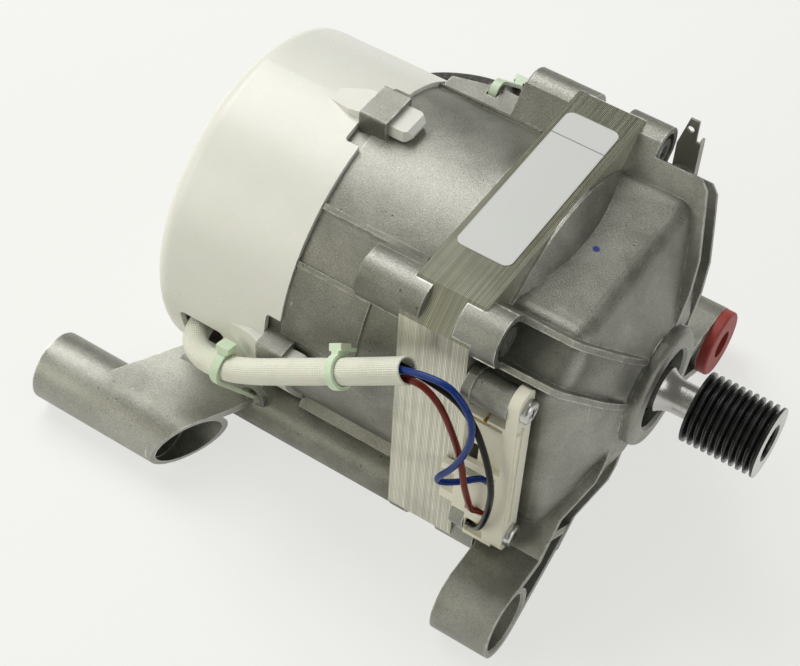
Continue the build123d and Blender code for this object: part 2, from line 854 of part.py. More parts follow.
# Rear shield: drum, bearing hub, bosses, tubes, arms, hooks and ribs
with BuildPart() as rear_shield:
    # Corner tubes and bosses with webs to the drum
    with BuildSketch(across(stack_rear)):
        with PolarLocations(bolt_reach, 2, start_angle=45, angular_range=180):
            Circle(boss_radius)
        with PolarLocations((drum_radius + bolt_reach) / 2, 2, start_angle=45, angular_range=180):
            Rectangle(bolt_reach - drum_radius + drum_wall, 2 * boss_radius)
    extrude(amount=-rear_boss_length)
    boss_ends = rear_shield.edges().filter_by_position(
        Axis.X, stack_rear - rear_boss_length - seat_gap, stack_rear - rear_boss_length + seat_gap)
    fillet(boss_ends.filter_by(GeomType.CIRCLE), radius=cast_round)
    with BuildSketch(across(stack_rear)):
        with PolarLocations(bolt_reach, 2, start_angle=225, angular_range=180):
            Circle(tube_radius)
    extrude(amount=-tube_end)
    with BuildSketch(across(stack_rear)):
        with PolarLocations((drum_radius + bolt_reach) / 2, 2, start_angle=225, angular_range=180):
            Rectangle(bolt_reach - drum_radius + drum_wall, tube_web)
    extrude(amount=-drum_length)
    with BuildSketch(across(stack_rear)):
        with PolarLocations(bolt_reach, 4, start_angle=45):
            Circle(boss_radius)
        offset(stack_outline.sketch, amount=lap_gap, kind=Kind.INTERSECTION, mode=Mode.SUBTRACT)
    extrude(amount=rear_lap)
    for side in (-1, 1):
        add(rear_arm(side))
    # Room for the hood inside the tubes and arms
    turned([
        (drum_end, 0),
        (drum_end, hood_radius + hood_clear),
        (hood_end - overrun, hood_radius + hood_clear),
        (hood_end - overrun, 0),
    ], mode=Mode.SUBTRACT)
    # Drum with its end wall and the hub of the rear bearing
    turned([
        (stack_rear, drum_radius - drum_wall),
        (stack_rear, drum_radius),
        (drum_end, drum_radius),
        (drum_end, spigot_radius),
        (spigot_end, spigot_radius),
        (spigot_end, rear_hole),
        (stack_rear - end_wall_front, rear_hole),
        (stack_rear - end_wall_front, rear_bearing_outside + seat_gap),
        (stack_rear - pocket_front, rear_bearing_outside + seat_gap),
        (stack_rear - pocket_front, rear_hub_radius),
        (stack_rear - end_wall_front, rear_hub_radius),
        (stack_rear - end_wall_front, drum_radius - drum_wall),
    ])
    # Ribs along the drum, in mirrored pairs
    for rib_angle, rib_length in zip(rib_angles, rib_lengths):
        with BuildSketch(across(drum_end)):
            for place in (rib_angle, 180 - rib_angle):
                with PolarLocations(drum_radius, 1, start_angle=place):
                    Rectangle(2 * rib_height, rib_width)
        extrude(amount=rib_length)
    # Raised pad above the near hook
    pad_turn = radians(180 - pad_start_angle)
    pad_end = radians(180 - rib_angles[1])
    with BuildSketch(across(drum_end)):
        Circle(drum_radius + pad_height)
        Circle(drum_radius - pad_height, mode=Mode.SUBTRACT)
        with BuildLine():
            Polyline(
                (0, 0),
                (2 * drum_radius * cos(pad_turn), 2 * drum_radius * sin(pad_turn)),
                (2 * drum_radius * cos(pad_end), 2 * drum_radius * sin(pad_end)),
                close=True,
            )
        make_face(mode=Mode.INTERSECT)
    extrude(amount=drum_length - pad_front)
    # Shelf beside the far boss, with a small lug for a tie
    with BuildSketch(Plane.XY.offset(axis_height + shelf_height - shelf_thickness)):
        with BuildLine():
            FilletPolyline(
                (stack_rear - shelf_front, shelf_inner),
                (stack_rear - shelf_front, shelf_outer),
                (stack_rear - shelf_lug_place, shelf_outer),
                (stack_rear - shelf_rear, shelf_rear_width),
                (stack_rear - shelf_rear, shelf_inner),
                radius=cast_round,
                close=True,
            )
        make_face()
        with Locations((stack_rear - shelf_lug_place, shelf_lug_reach - shelf_lug_radius)):
            Circle(shelf_lug_radius)
        with Locations((stack_rear - shelf_lug_place, shelf_hole_y)):
            Rectangle(shelf_hole_length, shelf_hole_width, mode=Mode.SUBTRACT)
    extrude(amount=shelf_thickness)
    # Bridges that take the hood's tongues
    for hook_angle in hook_angles:
        with BuildSketch(across(stack_rear - hook_start)):
            with PolarLocations((hook_top + spigot_radius) / 2 - hook_roof / 2, 1, start_angle=hook_angle):
                RectangleRounded(hook_top - spigot_radius + hook_roof, hook_width, hook_roof / 2)
            with PolarLocations((hook_top - hook_roof + hook_floor) / 2, 1, start_angle=hook_angle):
                Rectangle(hook_top - hook_roof - hook_floor, hook_width - 2 * hook_leg, mode=Mode.SUBTRACT)
        extrude(amount=-hook_length)
    # Cast loop on the near tube
    with BuildSketch(beside(-loop_y)):
        with Locations((stack_rear - loop_place, -loop_z)):
            Circle(loop_radius)
            Circle(loop_radius - loop_wire, mode=Mode.SUBTRACT)
    extrude(amount=loop_width / 2, both=True)
    # Posts for the sensor board
    with BuildSketch(across(spigot_end)):
        with PolarLocations(post_circle, post_count, start_angle=90):
            Circle(post_radius)
    extrude(amount=-post_length)
    # Cradle for the plug of the far cable: two cheeks on the drum
    with BuildSketch(beside(plug_y - plug_depth / 2 - seat_gap)):
        with Locations((plug_x, plug_z)):
            Rectangle(plug_width + 2 * cradle_wall, cradle_height)
    extrude(amount=plug_y - drum_radius + drum_wall - plug_depth / 2)
    with BuildSketch(beside(plug_y + plug_depth / 2 - cradle_wall)):
        with Locations((plug_x - plug_width / 2 - cradle_gap - cradle_wall / 2, plug_z),
                       (plug_x + plug_width / 2 + cradle_gap + cradle_wall / 2, plug_z)):
            Rectangle(cradle_wall, cradle_height)
    extrude(amount=plug_depth)
    # Holes for bolts and board screws
    with BuildSketch(across(stack_rear + rear_lap)):
        with Locations(*bolt_places):
            Circle(bolt_radius + thread_gap)
    extrude(amount=-(rear_lap + bolt_depth + bolt_clear), mode=Mode.SUBTRACT)
    with BuildSketch(across(spigot_end - post_length)):
        with PolarLocations(post_circle, post_count, start_angle=90):
            Circle(board_screw_radius + thread_gap)
    extrude(amount=post_length, mode=Mode.SUBTRACT)
finish(rear_shield, "rear_shield")


# Shaft with its bearing seats and the concave flare in front of the nose
shaft_end = stack_front + pulley_reach - shaft_recess
flare_end = nose_face + flare_length
rear_bearing_front = stack_rear - rear_bearing_start
rear_bearing_rear = rear_bearing_front - rear_bearing_width
with BuildPart() as shaft:
    with BuildSketch(beside(0)):
        with BuildLine():
            Polyline(
                (nose_face, front_bearing_bore),
                (front_bearing_rear, front_bearing_bore),
                (front_bearing_rear, front_shoulder),
                (stack_front + rotor_seat_front, front_shoulder),
                (stack_front + rotor_seat_front, rotor_seat),
                (stack_rear - rotor_seat_rear, rotor_seat),
                (stack_rear - rotor_seat_rear, front_bearing_bore),
                (rear_bearing_front, front_bearing_bore),
                (rear_bearing_front, rear_bearing_bore),
                (rear_bearing_rear, rear_bearing_bore),
                (rear_bearing_rear, stub_radius),
                (stack_rear - stub_end, stub_radius),
                (stack_rear - stub_end, 0),
                (shaft_end, 0),
                (shaft_end, front_tip),
                (flare_end, front_tip),
            )
            TangentArc((flare_end, front_tip), (nose_face, front_bearing_bore), tangent=(-1, 0))
        make_face()
    revolve(axis=spin_axis)
    tips = shaft.edges().filter_by(GeomType.CIRCLE).sort_by(Axis.X)
    chamfer([tips[0], tips[-1]], length=ring_edge)
finish(shaft, "shaft")

# Belt pulley with its row of grooves
pulley_rear = stack_front + pulley_start
pulley_face = stack_front + pulley_reach
groove_margin = (pulley_face - pulley_rear - groove_count * groove_pitch) / 2
pulley_points = [(pulley_rear, front_tip + seat_gap), (pulley_rear, pulley_crest)]
for groove in range(groove_count):
    middle = pulley_rear + groove_margin + (groove + 1 / 2) * groove_pitch
    pulley_points += [
        (middle - (groove_pitch - groove_crest) / 2, pulley_crest),
        (middle - groove_root / 2, pulley_crest - groove_depth),
        (middle + groove_root / 2, pulley_crest - groove_depth),
        (middle + (groove_pitch - groove_crest) / 2, pulley_crest),
    ]
pulley_points += [
    (pulley_face, pulley_crest),
    (pulley_face, front_tip + pulley_lip),
    (pulley_face - pulley_lip, front_tip + seat_gap),
]
with BuildPart() as drive_pulley:
    turned(pulley_points)
finish(drive_pulley, "drive_pulley")

# Rotor: core with sunk magnets between two end plates
with BuildPart() as rotor_core:
    with BuildSketch(across(stack_rear)):
        Circle(bore_radius - air_gap)
        Circle(rotor_seat + seat_gap, mode=Mode.SUBTRACT)
        with PolarLocations(magnet_place, magnet_count):
            Rectangle(magnet_thickness + 2 * magnet_gap, magnet_width + 2 * magnet_gap, mode=Mode.SUBTRACT)
        with PolarLocations((rotor_seat + magnet_place) / 2 - magnet_gap, magnet_count):
            Circle(magnet_thickness / 2, mode=Mode.SUBTRACT)
    extrude(amount=stack_length)
finish(rotor_core, "rotor_core")

with BuildPart() as rotor_magnets:
    with BuildSketch(across(stack_rear)):
        with PolarLocations(magnet_place, magnet_count):
            Rectangle(magnet_thickness, magnet_width)
    extrude(amount=stack_length)
finish(rotor_magnets, "rotor_magnets")

with BuildPart() as rotor_end_plates:
    for face_x, side in ((stack_front, 1), (stack_rear, -1)):
        with BuildSketch(across(face_x)):
            Circle(end_plate_radius)
            Circle(rotor_seat + seat_gap, mode=Mode.SUBTRACT)
        extrude(amount=side * end_plate_thickness)
finish(rotor_end_plates, "rotor_end_plates")


# Ball bearings: two rings, balls in their cage, and a seal on each side
def ball_bearing(rear_face, width, bore, outside, pitch, count, name):
    """Write the four pieces of one bearing."""
    middle = rear_face + width / 2
    outer_shoulder = pitch + ball_radius - race_depth
    inner_shoulder = pitch - ball_radius + race_depth
    seal_seat = outer_shoulder + seal_gap
    seal_depth = seal_inset + seal_thickness
    race = ball_radius + race_gap
    turns = [2 * pi * ball / count for ball in range(count)]
    ball_places = [(middle, pitch * cos(turn), axis_height + pitch * sin(turn)) for turn in turns]
    with BuildPart() as outer_ring:
        turned([
            (rear_face, seal_seat),
            (rear_face, outside),
            (rear_face + width, outside),
            (rear_face + width, seal_seat),
            (rear_face + width - seal_depth, seal_seat),
            (rear_face + width - seal_depth, outer_shoulder),
            (rear_face + seal_depth, outer_shoulder),
            (rear_face + seal_depth, seal_seat),
        ])
        with BuildSketch(beside(0)):
            with Locations((middle, pitch)):
                Circle(race)
        revolve(axis=spin_axis, mode=Mode.SUBTRACT)
    finish(outer_ring, name + "_outer")
    with BuildPart() as inner_ring:
        turned([
            (rear_face, bore + seat_gap),
            (rear_face, inner_shoulder),
            (rear_face + width, inner_shoulder),
            (rear_face + width, bore + seat_gap),
        ])
        with BuildSketch(beside(0)):
            with Locations((middle, pitch)):
                Circle(race)
        revolve(axis=spin_axis, mode=Mode.SUBTRACT)
    finish(inner_ring, name + "_inner")
    with BuildPart() as balls:
        turned([
            (middle - cage_half_width, pitch - cage_height / 2),
            (middle - cage_half_width, pitch + cage_height / 2),
            (middle + cage_half_width, pitch + cage_height / 2),
            (middle + cage_half_width, pitch - cage_height / 2),
        ])
        with Locations(*ball_places):
            Sphere(race + race_gap, mode=Mode.SUBTRACT)
            Sphere(ball_radius)
    finish(balls, name + "_balls")
    with BuildPart() as seals:
        for start in (rear_face + seal_inset, rear_face + width - seal_depth):
            turned([
                (start, inner_shoulder + seal_gap),
                (start, seal_seat - seat_gap),
                (start + seal_thickness, seal_seat - seat_gap),
                (start + seal_thickness, inner_shoulder + seal_gap),
            ])
    finish(seals, name + "_seals")


ball_bearing(front_bearing_rear, front_bearing_width, front_bearing_bore, front_bearing_outside,
             front_pitch, front_ball_count, "front_bearing")
ball_bearing(rear_bearing_rear, rear_bearing_width, rear_bearing_bore, rear_bearing_outside,
             rear_pitch, rear_ball_count, "rear_bearing")

# Bowed washer between the rear bearing and the floor of its pocket
washer_front = rear_bearing_rear - seat_gap
washer_rear = stack_rear - end_wall_front + seat_gap
with BuildPart() as wave_washer:
    with BuildSketch(beside(0)):
        with BuildLine():
            front_bow = ThreePointArc(
                (washer_rear + washer_thickness, -rear_bearing_outside),
                (washer_front, 0),
                (washer_rear + washer_thickness, rear_bearing_outside),
            )
            rear_bow = ThreePointArc(
                (washer_rear, -rear_bearing_outside),
                (washer_front - washer_thickness, 0),
                (washer_rear, rear_bearing_outside),
            )
            Line(front_bow @ 0, rear_bow @ 0)
            Line(front_bow @ 1, rear_bow @ 1)
        make_face()
    extrude(amount=rear_bearing_outside, both=True)
    with BuildSketch(across(washer_rear - overrun)):
        Circle(rear_bearing_outside - seat_gap)
        Circle(washer_inner, mode=Mode.SUBTRACT)
    extrude(amount=2 * overrun, mode=Mode.INTERSECT)
finish(wave_washer, "wave_washer")

# Retaining ring on the stub, against the rear bearing
with BuildPart() as shaft_clip:
    with BuildSketch(across(rear_bearing_rear)):
        Circle(clip_radius)
        Circle(stub_radius + seat_gap, mode=Mode.SUBTRACT)
        with Locations((0, -clip_radius)):
            Rectangle(clip_slot, 2 * (clip_radius - stub_radius), mode=Mode.SUBTRACT)
    extrude(amount=-clip_thickness)
finish(shaft_clip, "shaft_clip")

# Ring magnet that the position sensors read
with BuildPart() as sensor_magnet:
    with BuildSketch(across(stack_rear - sensor_ring_start)):
        Circle(sensor_ring_radius)
        Circle(stub_radius + seat_gap, mode=Mode.SUBTRACT)
    extrude(amount=-sensor_ring_length)
    chamfer(sensor_magnet.edges().filter_by(GeomType.CIRCLE).group_by(SortBy.RADIUS)[-1], length=ring_edge)
finish(sensor_magnet, "sensor_magnet")

# Ring-shaped sensor board with its three sensors and a header
board_front = spigot_end - post_length
board_rear = board_front - board_thickness
with BuildPart() as sensor_board:
    with BuildSketch(across(board_front)):
        Circle(board_radius)
        Circle(board_hole, mode=Mode.SUBTRACT)
        with PolarLocations(post_circle, post_count, start_angle=90):
            Circle(board_screw_radius + thread_gap, mode=Mode.SUBTRACT)
        with Locations((-board_radius, 0)):
            Rectangle(2 * sensor_circle, post_circle / 2, mode=Mode.SUBTRACT)
    extrude(amount=-board_thickness)
    with BuildSketch(across(board_front)):
        with PolarLocations(sensor_circle, post_count, start_angle=60, angular_range=90):
            Rectangle(sensor_size, sensor_size)
    extrude(amount=sensor_thickness)
    with BuildSketch(across(board_rear)):
        with Locations((board_radius - 2 * sensor_size, 0)):
            Rectangle(2 * sensor_size, post_circle / 2)
    extrude(amount=-sensor_size)
finish(sensor_board, "sensor_board")

with BuildPart() as sensor_screws:
    with BuildSketch(across(board_rear)):
        with PolarLocations(post_circle, post_count, start_angle=90):
            Circle(board_screw_head)
    extrude(amount=-board_screw_head_height)
    with BuildSketch(across(board_rear)):
        with PolarLocations(post_circle, post_count, start_angle=90):
            Circle(board_screw_radius)
    extrude(amount=board_thickness + post_length / 2)
finish(sensor_screws, "sensor_screws")


def facing(angle, x):
    """Plane through the shaft line at one station, its normal out at an angle."""
    turn = radians(angle)
    return Plane(origin=(x, 0, axis_height), x_dir=(1, 0, 0), z_dir=(0, cos(turn), sin(turn)))


# Snap tongue of the hood: a ramp on the hood that runs on through a bridge
def tongue(angle):
    """One tongue, tapered in plan and in height."""
    top = hook_top - hook_roof - tongue_gap
    floor = hook_floor + tongue_gap
    root = stack_rear - tongue_start
    neck = stack_rear - hook_start - hook_length - notch_depth
    tip = stack_rear - tongue_tip
    side_plane = facing(angle + 90, 0)
    with BuildPart() as arm:
        with BuildSketch(side_plane):
            with BuildLine():
                Polyline(
                    (root, hood_radius - hood_draft - ring_edge),
                    (neck + notch_depth, top),
                    (tip - hook_roof, top),
                    (tip, top - hook_roof),
                    (tip, floor + hook_roof),
                    (tip - hook_roof, floor),
                    (neck, floor),
                    (root, hood_radius - hood_wall / 2 - ring_edge),
                    close=True,
                )
            make_face()
        extrude(amount=tongue_width / 2, both=True)
        with BuildSketch(facing(angle, 0)):
            with BuildLine():
                Polyline(
                    (root, -tongue_root_width / 2),
                    (neck, -tongue_width / 2),
                    (tip - tongue_width / 4, -tongue_width / 2),
                    (tip, -tongue_width / 3),
                    (tip, tongue_width / 3),
                    (tip - tongue_width / 4, tongue_width / 2),
                    (neck, tongue_width / 2),
                    (root, tongue_root_width / 2),
                    close=True,
                )
            make_face()
        extrude(amount=hook_top + overrun, mode=Mode.INTERSECT)
    return arm.part


# Moulded hood over the rear end
with BuildPart() as rear_hood:
    turned([
        (hood_start, 0),
        (hood_start, hood_radius),
        (hood_end, hood_radius - hood_draft),
        (hood_end, 0),
    ])
    fillet(rear_hood.edges().filter_by(GeomType.CIRCLE).sort_by(Axis.X)[0], radius=hood_round)
    offset(amount=-hood_wall, openings=rear_hood.faces().sort_by(Axis.X)[-1])
    for hook_angle in hook_angles:
        with BuildSketch(facing(hook_angle, hood_start)):
            RectangleRounded(2 * notch_depth, notch_width, notch_round)
        extrude(amount=hook_top, mode=Mode.SUBTRACT)
        add(tongue(hook_angle))
    for low, high, front, rear, side in (
        (window_low_angle, window_high_angle, window_front, window_rear, -1),
        (far_window_low_angle, far_window_high_angle, far_window_front, far_window_rear, 1),
    ):
        middle_angle = 180 + (low + high) / 2 if side < 0 else (low + high) / 2
        half_width = hood_radius * sin(radians(abs(low - high) / 2))
        with BuildSketch(facing(middle_angle, stack_rear - (front + rear) / 2)):
            RectangleRounded(rear - front, 2 * half_width, window_round)
        extrude(amount=hook_top, mode=Mode.SUBTRACT)
finish(rear_hood, "rear_hood")

# Red bush in the far front barrel
with BuildPart() as mount_bush:
    lug_face = stack_front + front_lug_front
    with BuildSketch(across(lug_face)):
        with Locations((lug_spread, -lug_drop)):
            Circle(bush_flange)
    extrude(amount=bush_flange_thickness)
    fillet(mount_bush.edges().sort_by(Axis.X)[-1], radius=bush_round)
    with BuildSketch(across(lug_face)):
        with Locations((lug_spread, -lug_drop)):
            Circle(lug_bore - seat_gap)
    extrude(amount=front_lug_rear - front_lug_front)
    with BuildSketch(across(stack_front)):
        with Locations((lug_spread, -lug_drop)):
            Circle(bush_hole)
    extrude(amount=front_lug_front + 2 * overrun, mode=Mode.SUBTRACT)
finish(mount_bush, "mount_bush")

# Terminal block: screwed flange, body, fingers over the stack, channels for the leads
flange_back = stack_front + pillar_end
flange_face = flange_back + flange_thickness
body_rear = stack_front + block_rear
channel_starts = (-finger_reach - overrun, middle_channel_start, low_channel_start)
with BuildPart() as terminal_block:
    with BuildSketch(across(flange_back)):
        with Locations((-(flange_outer + flange_inner) / 2, (flange_high - flange_low) / 2)):
            RectangleRounded(flange_outer - flange_inner, flange_high + flange_low,
                             (flange_outer - flange_inner) / 2 - ring_edge)
    extrude(amount=flange_thickness)
    with BuildSketch(across(flange_face)):
        with Locations((-flange_outer + flange_rib_width / 2 + ring_edge, 0)):
            Rectangle(flange_rib_width, 2 * (pillar_z - 2 * terminal_head))
            Rectangle(flange_rib_groove, 2 * (pillar_z - 2 * terminal_head), mode=Mode.SUBTRACT)
    extrude(amount=flange_rib_height)
    with BuildSketch(across(body_rear)):
        with Locations((-(flange_outer + block_inner) / 2, (block_high - block_low) / 2)):
            Rectangle(flange_outer - block_inner, block_high + block_low)
    extrude(amount=flange_back - body_rear)
    # Room for the lower pillar
    with BuildSketch(across(body_rear)):
        with Locations((-(flange_outer + block_inner) / 2, -terminal_screw_low)):
            Rectangle(2 * flange_outer - block_inner, 2 * (pillar_radius + finger_gap))
    extrude(amount=stack_front + low_pillar_end - body_rear, mode=Mode.SUBTRACT)
    # Room for the round foot of the front shield
    with BuildSketch(across(body_rear)):
        Circle(skirt_radius + finger_gap)
    extrude(amount=stack_front + skirt_length + finger_gap - body_rear, mode=Mode.SUBTRACT)
    # Fingers over the side of the stack
    with BuildSketch(across(body_rear)):
        with Locations((-(flange_outer + stack_half + finger_gap) / 2, -(finger_high + finger_low) / 2)):
            Rectangle(flange_outer - stack_half - finger_gap, finger_low - finger_high)
    extrude(amount=-(finger_reach + block_rear))
    # Shallow recess on the outer face, and a slot for the brass strip
    with BuildSketch(beside(-flange_outer)):
        with Locations((stack_front + (block_recess_rear + pillar_end) / 2,
                        (block_recess_low + block_recess_high) / 2)):
            Rectangle(pillar_end - block_recess_rear, block_recess_high - block_recess_low)
    extrude(amount=-block_recess, mode=Mode.SUBTRACT)
    with BuildSketch(beside(-flange_outer)):
        with Locations((stack_front + (strip_start + strip_end) / 2, strip_height)):
            Rectangle(strip_end - strip_start, strip_slot)
    extrude(amount=-strip_depth, mode=Mode.SUBTRACT)
    with BuildSketch(beside(-flange_outer)):
        with Locations((stack_front + (strip_window + strip_end) / 2, strip_height)):
            Rectangle(strip_end - strip_window, strip_slot)
        with Locations((stack_front + strip_notch_place, (strip_height + block_high + overrun) / 2)):
            Rectangle(strip_notch, block_high + overrun - strip_height)
    extrude(amount=-strip_window_depth, mode=Mode.SUBTRACT)
    # Small square holes beside the flange
    with BuildSketch(beside(-flange_outer)):
        for height in pin_hole_heights:
            with Locations((stack_front + pin_hole_place, height)):
                Rectangle(pin_hole, pin_hole)
    extrude(amount=-pin_hole_depth, mode=Mode.SUBTRACT)
    # Channels for the leads
    for height, half, start in zip(channel_heights, channel_halves, channel_starts):
        with BuildSketch(beside(-flange_outer)):
            with Locations((stack_front + (start + channel_end) / 2, height)):
                Rectangle(channel_end - start, 2 * half)
        extrude(amount=-channel_depth, mode=Mode.SUBTRACT)
    # Gap between the two fingers
    with BuildSketch(beside(-flange_outer)):
        with Locations((stack_front + (block_rear - finger_reach - overrun) / 2,
                        -(upper_finger_low + lower_finger_high) / 2)):
            Rectangle(finger_reach + overrun + block_rear, lower_finger_high - upper_finger_low)
    extrude(amount=-(flange_outer - stack_half), mode=Mode.SUBTRACT)
    # Screw holes
    with BuildSketch(across(stack_front)):
        with Locations((-pillar_y, pillar_z), (-pillar_y, -terminal_screw_low)):
            Circle(terminal_shank + thread_gap)
    extrude(amount=pillar_end + overrun, mode=Mode.SUBTRACT)
finish(terminal_block, "terminal_block")

# Brass strip and lead contacts of the terminal block
with BuildPart() as terminal_contacts:
    with BuildSketch(beside(-flange_outer + strip_depth)):
        with Locations((stack_front + (strip_start + strip_window) / 2, strip_height)):
            Rectangle(strip_window - strip_start - 2 * thread_gap, strip_slot / 2)
    extrude(amount=strip_depth - contact_thickness)
    for height in channel_heights:
        with BuildSketch(beside(-flange_outer + channel_depth)):
            with Locations((stack_front + channel_end - contact_length / 2, height)):
                Rectangle(contact_length, 2 * contact_half)
        extrude(amount=contact_thickness / 2)
finish(terminal_contacts, "terminal_contacts")

# Two cross-head screws through the flange
with BuildPart() as terminal_screws:
    lengths = (terminal_screw_length, pillar_end + flange_thickness - low_pillar_end / 2)
    for height, length in zip((pillar_z, -terminal_screw_low), lengths):
        with BuildSketch(across(flange_face)):
            with Locations((-pillar_y, height)):
                Circle(terminal_head)
        extrude(amount=terminal_head_height)
        rim = terminal_screws.edges().filter_by(GeomType.CIRCLE).filter_by_position(
            Axis.Z, axis_height + height - terminal_head, axis_height + height + terminal_head
        ).group_by(Axis.X)[-1]
        fillet(rim, radius=cross_depth)
        with BuildSketch(across(flange_face)):
            with Locations((-pillar_y, height)):
                Circle(terminal_shank)
        extrude(amount=-length)
        with BuildSketch(across(flange_face + terminal_head_height)):
            with Locations((-pillar_y, height)):
                Rectangle(cross_width, cross_length)
                Rectangle(cross_length, cross_width)
        extrude(amount=-cross_depth, mode=Mode.SUBTRACT)
finish(terminal_screws, "terminal_screws")

# Steel earth tab and its screw on the far side
earth_middle = (2 * stack_front + earth_start + earth_end) / 2
tip_x = stack_front + earth_end - earth_fold / 2 - earth_tip
with BuildPart() as earth_tab:
    with BuildSketch(beside(earth_y)):
        with BuildLine():
            Polyline(
                (stack_front + earth_start, earth_low),
                (stack_front + earth_start, earth_shoulder - earth_fold),
                (tip_x - earth_tip, earth_high),
                (tip_x + earth_tip, earth_high),
                (tip_x + earth_tip, earth_shoulder),
                (stack_front + earth_end, earth_shoulder),
                (stack_front + earth_end, earth_low),
                close=True,
            )
        make_face()
        with Locations((tip_x - earth_tip / 2, earth_hole_height)):
            Circle(earth_hole, mode=Mode.SUBTRACT)
        with Locations((earth_middle, earth_boss_z)):
            Circle(earth_screw_radius + thread_gap, mode=Mode.SUBTRACT)
    extrude(amount=-earth_thickness)
    with BuildSketch(beside(earth_y)):
        with Locations((stack_front + earth_end - earth_thickness / 2, (earth_low + earth_shoulder) / 2)):
            Rectangle(earth_thickness, earth_shoulder - earth_low)
    extrude(amount=-earth_fold)
finish(earth_tab, "earth_tab")

with BuildPart() as earth_screw:
    with BuildSketch(beside(earth_y + earth_thickness)):
        with Locations((earth_middle, earth_boss_z)):
            Circle(earth_screw_head)
    extrude(amount=-earth_screw_head_height)
    with BuildSketch(beside(earth_y + earth_thickness)):
        with Locations((earth_middle, earth_boss_z)):
            Circle(earth_screw_radius)
    extrude(amount=earth_thickness + earth_screw_depth - ring_edge)
    with BuildSketch(beside(earth_y + earth_thickness + earth_screw_head_height)):
        with Locations((earth_middle, earth_boss_z)):
            Rectangle(cross_width, cross_length)
            Rectangle(cross_length, cross_width)
    extrude(amount=cross_depth, mode=Mode.SUBTRACT)
finish(earth_screw, "earth_screw")

# Rating label on top of the stack
with BuildPart() as rating_label:
    with BuildSketch(Plane.XY.offset(axis_height + stack_half)):
        with Locations((stack_front - label_front - label_width / 2, (label_far - label_near) / 2)):
            RectangleRounded(label_width, label_near + label_far, label_round)
    extrude(amount=label_thickness)
finish(rating_label, "rating_label")


# Cords: straight runs joined by tangent arcs, held from end to end
def beside_stack(side, points):
    """Turn points ahead of the stack, out from one side and above the shaft into real places."""
    return [Vector(stack_front + x, side * (stack_half + out), axis_height + z) for x, out, z in points]


def cord_radii(points):
    """Largest arc that the two runs at each corner allow."""
    radii = []
    for before, here, after in zip(points, points[1:], points[2:]):
        first = here - before
        second = after - here
        turn = radians(first.get_angle(second))
        radii.append(cord_share * min(first.length, second.length) / tan(turn / 2))
    return radii


def cord(points, radius, name, wall=0):
    """Sweep a round section along a route and write it."""
    radii = cord_radii(points)
    with BuildLine() as path:
        FilletPolyline(*points, radius=radii)
    route = path.wire()
    with BuildPart() as tube:
        with BuildSketch(Plane(origin=route @ 0, z_dir=route % 0)):
            Circle(radius)
            if wall > 0:
                Circle(radius - wall, mode=Mode.SUBTRACT)
        sweep(path=route)
    inside = radius - wall if wall > 0 else 0
    expected = pi * (radius**2 - inside**2) * route.length
    print(name, "length", round(route.length, 1), "radii", [round(each, 1) for each in radii],
          "volume over expected", round(tube.part.volume / expected, 4))
    finish(tube, name)
    return route


sleeve_route = beside_stack(near_side, [
    (-98.8, -15.0, -12.0),
    (-98.4, 0.6, -11.4),
    (-91.2, 8.5, -11.6),
    (-79.4, 10.5, -8.2),
    (-66.6, 12.0, 0.7),
    (-52.6, 11.3, 10.0),
    (-32.6, 9.5, 22.4),
    (-14.7, 8.0, 34.5),
])
sleeve_path = cord(sleeve_route, sleeve_radius, "lead_sleeve", sleeve_wall)

blue_route = beside_stack(near_side, [
    (-19.0, 9.3, 33.9),
    (-2.6, 9.8, 42.0),
    (6.8, 10.0, 34.6),
    (9.4, 10.2, 26.0),
    (8.1, 10.3, 15.6),
    (4.0, 10.4, 4.2),
    (-1.2, 10.2, -4.4),
    (-0.5, 9.0, -7.8),
    (4.9, 5.9, -6.7),
    (9.6, 2.3, -5.0),
    (12.0, 1.65, -4.7),
])
cord(blue_route, lead_radius, "lead_blue")

brown_route = beside_stack(near_side, [
    (-16.8, 9.3, 30.5),
    (-11.4, 9.2, 34.2),
    (-3.4, 9.3, 30.4),
    (1.8, 8.6, 18.6),
    (5.2, 7.4, 5.4),
    (7.1, 8.1, -4.2),
    (8.6, 6.6, -13.8),
    (8.5, 4.5, -19.7),
    (9.9, 2.6, -21.5),
    (12.0, 1.7, -21.6),
])
cord(brown_route, lead_radius, "lead_brown")

black_route = beside_stack(near_side, [
    (-18.3, 6.3, 32.6),
    (-1.4, 6.6, 33.4),
    (8.0, 7.0, 25.0),
    (13.2, 7.3, 12.5),
    (16.1, 7.3, 0.0),
    (15.6, 6.8, -11.5),
    (13.6, 5.6, -22.0),
    (11.2, 3.9, -28.4),
    (8.9, 2.1, -31.2),
    (6.5, 1.65, -31.3),
])
cord(black_route, lead_radius, "lead_black")

cable_route = beside_stack(far_side, [
    (-94.6, -13.0, 12.5),
    (-89.4, -2.5, 16.3),
    (-80.6, 2.8, 19.2),
    (-68.6, 2.0, 25.2),
    (-56.6, -1.4, 31.4),
    (-44.6, -2.4, 33.0),
    (-37.0, -0.8, 29.6),
    (-34.2, 3.2, 21.5),
    (-35.4, 7.5, 9.5),
    (-35.4, 7.5, -0.5),
])
cable_path = cord(cable_route, cable_radius, "sensor_cable")

# Plug of the far cable, in its cradle
with BuildPart() as sensor_plug:
    with BuildSketch(Plane.XY.offset(axis_height + plug_z - plug_height / 2)):
        with Locations((plug_x, plug_y)):
            RectangleRounded(plug_width, plug_depth, plug_round)
    extrude(amount=plug_height)
finish(sensor_plug, "sensor_plug")


# Ties: a band round what it holds, a head and a cut end
def middle_at(route, x):
    """Where a cord's middle line passes one station, and its share of the route there."""
    shares = [step / route_steps for step in range(route_steps + 1)]
    share = min(shares, key=lambda each: abs((route @ each).X - x))
    return route @ share, share


